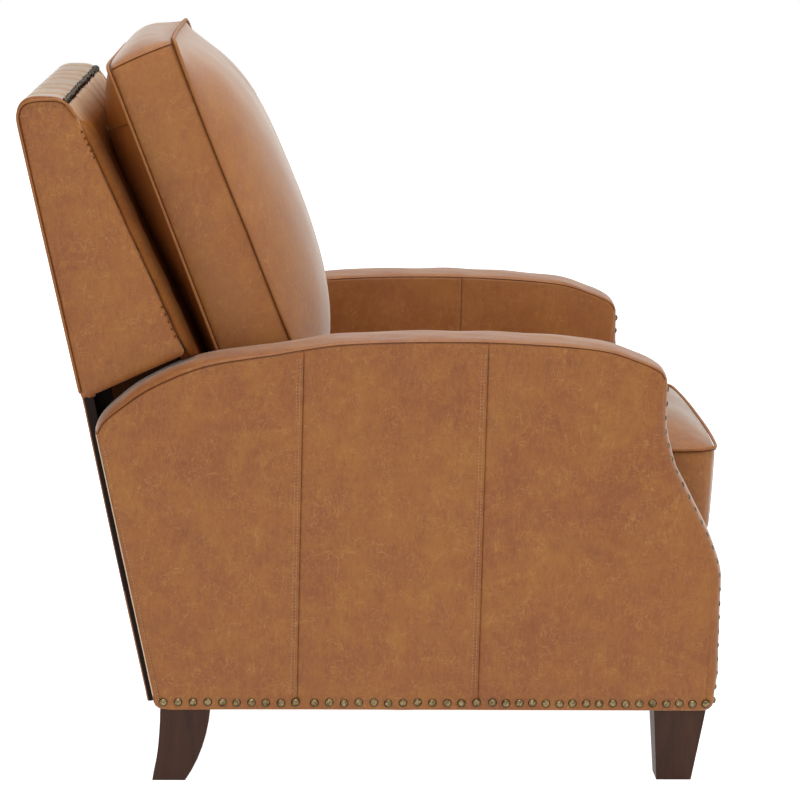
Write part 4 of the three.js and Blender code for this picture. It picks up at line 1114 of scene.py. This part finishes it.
# Puckers fan in from the cord, and soft unevenness lies over the faces
def cushionRelief(size, points, a, b, rise, face):
    edge = np.maximum(np.abs(a), np.abs(b))
    along = np.where(np.abs(a) > np.abs(b), points[..., 1], points[..., 0])
    near = np.where(face == 0, np.exp(-np.minimum(rise, 1 - rise) / puckers["boxingReach"]),
                    np.exp(-(1 - edge) / puckers["faceReach"]))
    pucker = np.sin(2 * math.pi * along / puckers["pitch"] + 3 * unevenness(points, 0.08, 51))
    broad = unevenness(points, 0.16, 52) + 0.5 * unevenness(points, 0.06, 53)
    flatSeam = np.sin(math.pi / 2 * np.clip((1 - edge) / puckers["seamReach"], 0, 1))
    seam = np.where(face == 0, np.sin(math.pi * rise), flatSeam)
    return size["wrinkle"] * seam * (0.55 * near * pucker + 0.9 * (1 - near * 0.6) * broad)


def turnCushion(size, points):
    x, y, z = points[..., 0], points[..., 1], points[..., 2]
    middleX, middleZ = size["middle"]
    across, up = math.cos(size["lean"]), math.sin(size["lean"])
    return np.stack([middleX + x * up + z * across, y, middleZ - x * across + z * up], axis=-1)


# Height over the middle of a turned cushion's thickness
def cushionHeight(size, points):
    middleX, middleZ = size["middle"]
    across, up = math.cos(size["lean"]), math.sin(size["lean"])
    return (points[:, 0] - middleX) * across + (points[:, 2] - middleZ) * up


# The filling presses every cushion out: its mesh, remade of even squares, moves as cloth that is held along
# both seams. No point moves further than the cap, and neighbours share their moves a few times over
press = {"voxel": 0.007, "force": 2.5, "mass": 0.3, "stretch": 15, "shear": 5, "bend": 1.5, "frames": 13,
         "cap": 0.006, "held": 0.0045, "widest": 0.2725, "shared": 12}


def meshPoints(mesh):
    flat = np.empty(len(mesh.vertices) * 3)
    mesh.vertices.foreach_get("co", flat)
    return flat.reshape(-1, 3)


def finishedMesh(piece):
    return bpy.data.meshes.new_from_object(piece.evaluated_get(bpy.context.evaluated_depsgraph_get()))


def pressCushion(cushion, seams):
    scene = bpy.context.scene
    even = cushion.modifiers.new("even", "REMESH")
    even.mode, even.voxel_size, even.use_smooth_shade = "VOXEL", press["voxel"], True
    mesh = finishedMesh(cushion)
    cushion.modifiers.clear()
    cushion.data = mesh
    start = meshPoints(mesh)
    away = np.full(len(start), np.inf)
    for seam in seams:
        for part in np.array_split(seam, 8):
            away = np.minimum(away, np.linalg.norm(start[:, None] - part[None], axis=2).min(axis=1))
    held = cushion.vertex_groups.new(name="held")
    held.add(np.flatnonzero(away < press["held"]).tolist(), 1.0, "REPLACE")
    cloth = cushion.modifiers.new("press", "CLOTH")
    settings = cloth.settings
    settings.quality, settings.mass = 5, press["mass"]
    settings.tension_stiffness = settings.compression_stiffness = press["stretch"]
    settings.shear_stiffness, settings.bending_stiffness = press["shear"], press["bend"]
    settings.use_pressure, settings.uniform_pressure_force = True, press["force"]
    settings.vertex_group_mass = held.name
    settings.effector_weights.gravity = 0
    cloth.point_cache.frame_start, cloth.point_cache.frame_end = 1, press["frames"]
    for frameNumber in range(1, press["frames"] + 1):
        scene.frame_set(frameNumber)
    move = meshPoints(finishedMesh(cushion)) - start
    cushion.modifiers.clear()
    cushion.vertex_groups.clear()
    scene.frame_set(1)
    length = np.linalg.norm(move, axis=1)[:, None]
    move = move * np.minimum(1, press["cap"] / np.maximum(length, 1e-9))
    ends = np.empty(len(mesh.edges) * 2, np.int32)
    mesh.edges.foreach_get("vertices", ends)
    ends = ends.reshape(-1, 2)
    count = np.bincount(ends.ravel(), minlength=len(start))[:, None]
    for _ in range(press["shared"]):
        total = np.zeros_like(move)
        np.add.at(total, ends[:, 0], move[ends[:, 1]])
        np.add.at(total, ends[:, 1], move[ends[:, 0]])
        move = (move + total / count) / 2
    end = start + move
    end[:, 1] = np.clip(end[:, 1], -press["widest"], press["widest"])
    mesh.vertices.foreach_set("co", end.ravel())
    finer = cushion.modifiers.new("finer", "SUBSURF")
    finer.levels = finer.render_levels = 1
    cushion.data = finishedMesh(cushion)
    cushion.modifiers.clear()
    moved = round(float(np.median(length)) * 1000, 1)
    print(cushion.name, "pressed", len(start), "points, moved", moved, "mm")


def buildCushion(name, size):
    grid = cushionGrid
    outwards = np.sin(math.pi / 2 * np.linspace(0, 1, grid["face"] + 1)[1:])
    rises = np.linspace(0, 1, grid["boxing"] + 1)[1:-1]
    scale = np.concatenate([outwards, np.ones(len(rises)), outwards[::-1]])[:, None]
    rise = np.concatenate([np.zeros(len(outwards)), rises, np.ones(len(outwards))])[:, None]
    face = np.concatenate([-np.ones(len(outwards)), np.zeros(len(rises)), np.ones(len(outwards))])[:, None]
    a0, b0 = squareLoop(grid["loop"], size["cornerPower"])
    a, b = a0[None] * scale, b0[None] * scale
    rise, face = np.broadcast_to(rise, a.shape), np.broadcast_to(face, a.shape)
    points = cushionPoints(size, a, b, rise, face)
    relief = cushionRelief(size, points, a, b, rise, face)
    boxing = face == 0
    outX = np.where(np.abs(a) > np.abs(b), np.sign(a), 0) * boxing
    outY = np.where(np.abs(b) >= np.abs(a), np.sign(b), 0) * boxing
    points = points + relief[..., None] * np.stack([outX, outY, face], axis=-1)
    cushion = loft(f"{name}Cushion", turnCushion(size, points))
    a1, b1 = squareLoop(grid["seam"], size["cornerPower"])
    level = np.ones(grid["seam"])
    seams = {"Lower": cushionPoints(size, a1, b1, 0 * level, -level),
             "Upper": cushionPoints(size, a1, b1, level, level)}
    pressCushion(cushion, [turnCushion(size, seam) for seam in seams.values()])
    dress(cushion, size["look"], size["body"], size["node"])
    # The back cushion's rear face takes the leather lightened as painted light
    if name == "back":
        secondLook(cushion, "paintedLightRearLeather",
                   lambda centres: cushionHeight(size, centres) < -size["thickness"] / 2)
    flat = unit(np.stack([a1, b1, np.zeros_like(a1)], axis=1))
    for edge in size["cords"]:
        upwards = 1 if edge == "Upper" else -1
        # Beside each piping lies a thin dark crease cord of painted shade
        for part, look, radius, out, up in (("Piping", "pipingLeather", size["cord"], 0.2, 0.35),
                                            ("Crease", "seamDarkAndShadeLeather", 0.0008, 0.55, -0.9)):
            seam = seams[edge] + flat * size["cord"] * out
            seam[:, 2] += upwards * size["cord"] * up
            path = turnCushion(size, seam)
            sideways = turnCushion(size, seam + [0, 0, 1]) - path
            cord(f"{name}{part}{edge}", path, radius, look, size["body"], sideways, 10, True)


# A thin dark seam over a cushion, along the given shares
def cushionSeam(name, size, a, b, rise, face):
    path = turnCushion(size, cushionPoints(size, a, b, rise, face))
    cord(name, path, 0.0007, "seamDarkAndShadeLeather", size["body"], acrossY if np.ptp(b) == 0 else [0, 0, 1])


for name, size in cushions.items():
    buildCushion(name, size)
backCushion, level = cushions["back"], np.ones(120)
end = np.full(40, 2 ** (-1 / backCushion["cornerPower"]))
for sideName, side in sides.items():
    cushionSeam(f"{sideName}BackCushionCorner", backCushion, -end, side * end,
                np.linspace(0.02, 0.98, 40), 0 * end)
cushionSeam("backCushionRearSeam", backCushion, -backPlace["seam"] * level, np.linspace(-0.995, 0.995, 120),
            0 * level, -level)
print("cushions made")

# Rear flap

# The squash axis and share, which would take the skirt's head to the shell's lower edge when the back is down, are
# not used here
flap = {
    "half": 0.331, "foot": (-0.3185, 0.1095), "head": (-0.4096, 0.5492), "thickness": 0.0020,
    "ripple": 0.0012, "rippleRate": 38, "rippleStart": 1.3, "hem": 0.0010, "hemWide": 0.012,
    "sideFoot": 0.0125, "sideHead": 0.014, "shadeDepth": 0.0011, "turn": 0.004,
    "axis": (0.4535, 0, 0.8912), "keep": 0.64,
}


# Ripples across the chair, none at the foot and the head
def flapSway(y, height):
    return flap["ripple"] * np.sin(y * flap["rippleRate"] + flap["rippleStart"]) * np.sin(math.pi * height)


# A thin hanging skirt with soft vertical ripples, hemmed at its borders. Its two sides turn forwards,
# further at the head than at the foot
def buildFlap():
    u, v = endDense(300) * 2 - 1, endDense(90)
    foot, head = np.array(flap["foot"]), np.array(flap["head"])
    run = foot + (head - foot) * v[:, None]
    direction = unit(head - foot)
    normal = np.array([-direction[1], direction[0]])
    length = np.linalg.norm(head - foot)
    side = (flap["sideFoot"] + (flap["sideHead"] - flap["sideFoot"]) * v)[:, None]
    reach = u[None, :] * (flap["half"] + side)
    over = np.clip(np.abs(reach) - flap["half"] + flap["turn"], 0, None)
    angle = np.clip(over / flap["turn"], 0, math.pi / 2)
    past = np.clip(over - flap["turn"] * math.pi / 2, 0, None)
    straight = np.minimum(np.abs(reach), flap["half"] - flap["turn"])
    y = np.sign(reach) * (straight + flap["turn"] * np.sin(angle))
    inwards = flap["turn"] * (1 - np.cos(angle)) + past
    border = np.minimum((1 - np.abs(u))[None, :] * (flap["half"] + side),
                        np.minimum(v, 1 - v)[:, None] * length)
    thickness = flap["thickness"] * edgeRound(border, 0.001) + flap["hem"] / 2 * (border < flap["hemWide"])
    sway = flapSway(y, v[:, None])
    faces = []
    for share in (0.5, -0.5):
        offset = sway - inwards + share * thickness * np.cos(angle)
        level = y + share * thickness * np.sin(angle) * np.sign(reach)
        faces.append(atLevel(run[:, None] + normal * offset[..., None], level))
    piece = dress(slab("rearFlap", faces[0], faces[1]), "leather", "base", "rear_flap")

    # Painted shade: near-black leather covers the inner face and the turned sides
    def inPaintedShade(centres):
        place = centres[:, [0, 2]] - foot
        height = np.clip(place @ direction / length, 0, 1)
        return place @ normal < flapSway(centres[:, 1], height) - flap["shadeDepth"]

    secondLook(piece, "paintedShadeBlack", inPaintedShade)
    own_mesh(piece)


buildFlap()
print("rear flap hung")

# Camera, light and floor

camera = {
    "lens": 130.275, "sensor": 36.0, "yaw": -2.332, "pitch": 10.533, "roll": 0.8415,
    "place": (-0.127455, -4.335118, 1.295653),
}


def placeCamera():
    yaw, pitch, roll = (math.radians(camera[k]) for k in ("yaw", "pitch", "roll"))
    right = Vector((math.cos(yaw), math.sin(yaw), 0))
    level = Vector((-math.sin(yaw), math.cos(yaw), 0))
    up = Vector((0, 0, 1))
    ahead = math.cos(pitch) * level - math.sin(pitch) * up
    over = math.sin(pitch) * level + math.cos(pitch) * up
    turnedRight = math.cos(roll) * right + math.sin(roll) * over
    turnedUp = -math.sin(roll) * right + math.cos(roll) * over
    lens = bpy.data.cameras.new("camera")
    lens.lens, lens.sensor_width = camera["lens"], camera["sensor"]
    lens.clip_end = 60
    lens.dof.use_dof = False
    eye = inScene("camera", lens)
    axes = Matrix((turnedRight, turnedUp, -ahead)).transposed()
    eye.matrix_world = Matrix.Translation(Vector(camera["place"])) @ axes.to_4x4()
    bpy.context.scene.camera = eye


lamps = {
    "overhead": {"place": (0.1, -0.3, 3.2), "aim": (0, 0, 0.4), "size": 2.6, "power": 64},
    "front": {"place": (-0.8, -4.0, 1.8), "aim": (0, 0, 0.5), "size": 1.8, "power": 20},
    "side": {"place": (3.2, -1.6, 1.5), "aim": (0, 0, 0.5), "size": 1.6, "power": 12},
}


def placeLamps():
    for name, lamp in lamps.items():
        light = bpy.data.lights.new(name, "AREA")
        light.shape, light.size, light.energy = "SQUARE", lamp["size"], lamp["power"]
        holder = inScene(name, light)
        place = Vector(lamp["place"])
        turn = (Vector(lamp["aim"]) - place).to_track_quat("-Z", "Y")
        holder.matrix_world = Matrix.Translation(place) @ turn.to_matrix().to_4x4()


# The surroundings light the chair plainly. The camera sees white, and mirror rays see four fifths of it
def paintWorld(strength=0.5, mirrored=0.8):
    world = bpy.data.worlds.new("surroundings")
    bpy.context.scene.world = world
    world.use_nodes = True
    tree = world.node_tree
    tree.nodes.clear()
    seen = tree.nodes.new("ShaderNodeLightPath")
    bright = maths(tree, "MAXIMUM", seen.outputs["Is Camera Ray"], seen.outputs["Is Transmission Ray"])
    bright = maths(tree, "MAXIMUM", bright, maths(tree, "MULTIPLY", seen.outputs["Is Glossy Ray"], mirrored))
    level = maths(tree, "MAXIMUM", bright, strength)
    background = addNode(tree, "ShaderNodeBackground", {"Color": (1, 1, 1, 1), "Strength": level})
    output = tree.nodes.new("ShaderNodeOutputWorld")
    tree.links.new(background.outputs["Background"], output.inputs["Surface"])


# A white floor that also glows, more towards the camera, so that only a faint shadow stays under the chair
def layFloor(half=12.0, sink=0.0002, glow=0.5, seenGlow=0.95):
    mesh = bpy.data.meshes.new("floor")
    mesh.from_pydata([(-half, -half, -sink), (half, -half, -sink), (half, half, -sink), (-half, half, -sink)],
                     [], [(0, 1, 2, 3)])
    floor = inScene("floor", mesh)
    material = bpy.data.materials.new("studioFloor")
    material.use_nodes = True
    shader = material.node_tree.nodes["Principled BSDF"]
    shader.inputs["Base Color"].default_value = (0.8, 0.8, 0.8, 1)
    shader.inputs["Roughness"].default_value = 0.9
    shader.inputs["Emission Color"].default_value = (1, 1, 1, 1)
    seen = material.node_tree.nodes.new("ShaderNodeLightPath").outputs["Is Camera Ray"]
    level = ranged(material.node_tree, seen, 0.0, 1.0, glow, seenGlow)
    material.node_tree.links.new(level, shader.inputs["Emission Strength"])
    mesh.materials.append(material)


placeCamera()
placeLamps()
paintWorld()
layFloor()
bpy.context.scene.view_settings.view_transform = "Standard"
print("stage set")

bpy.context.view_layer.update()
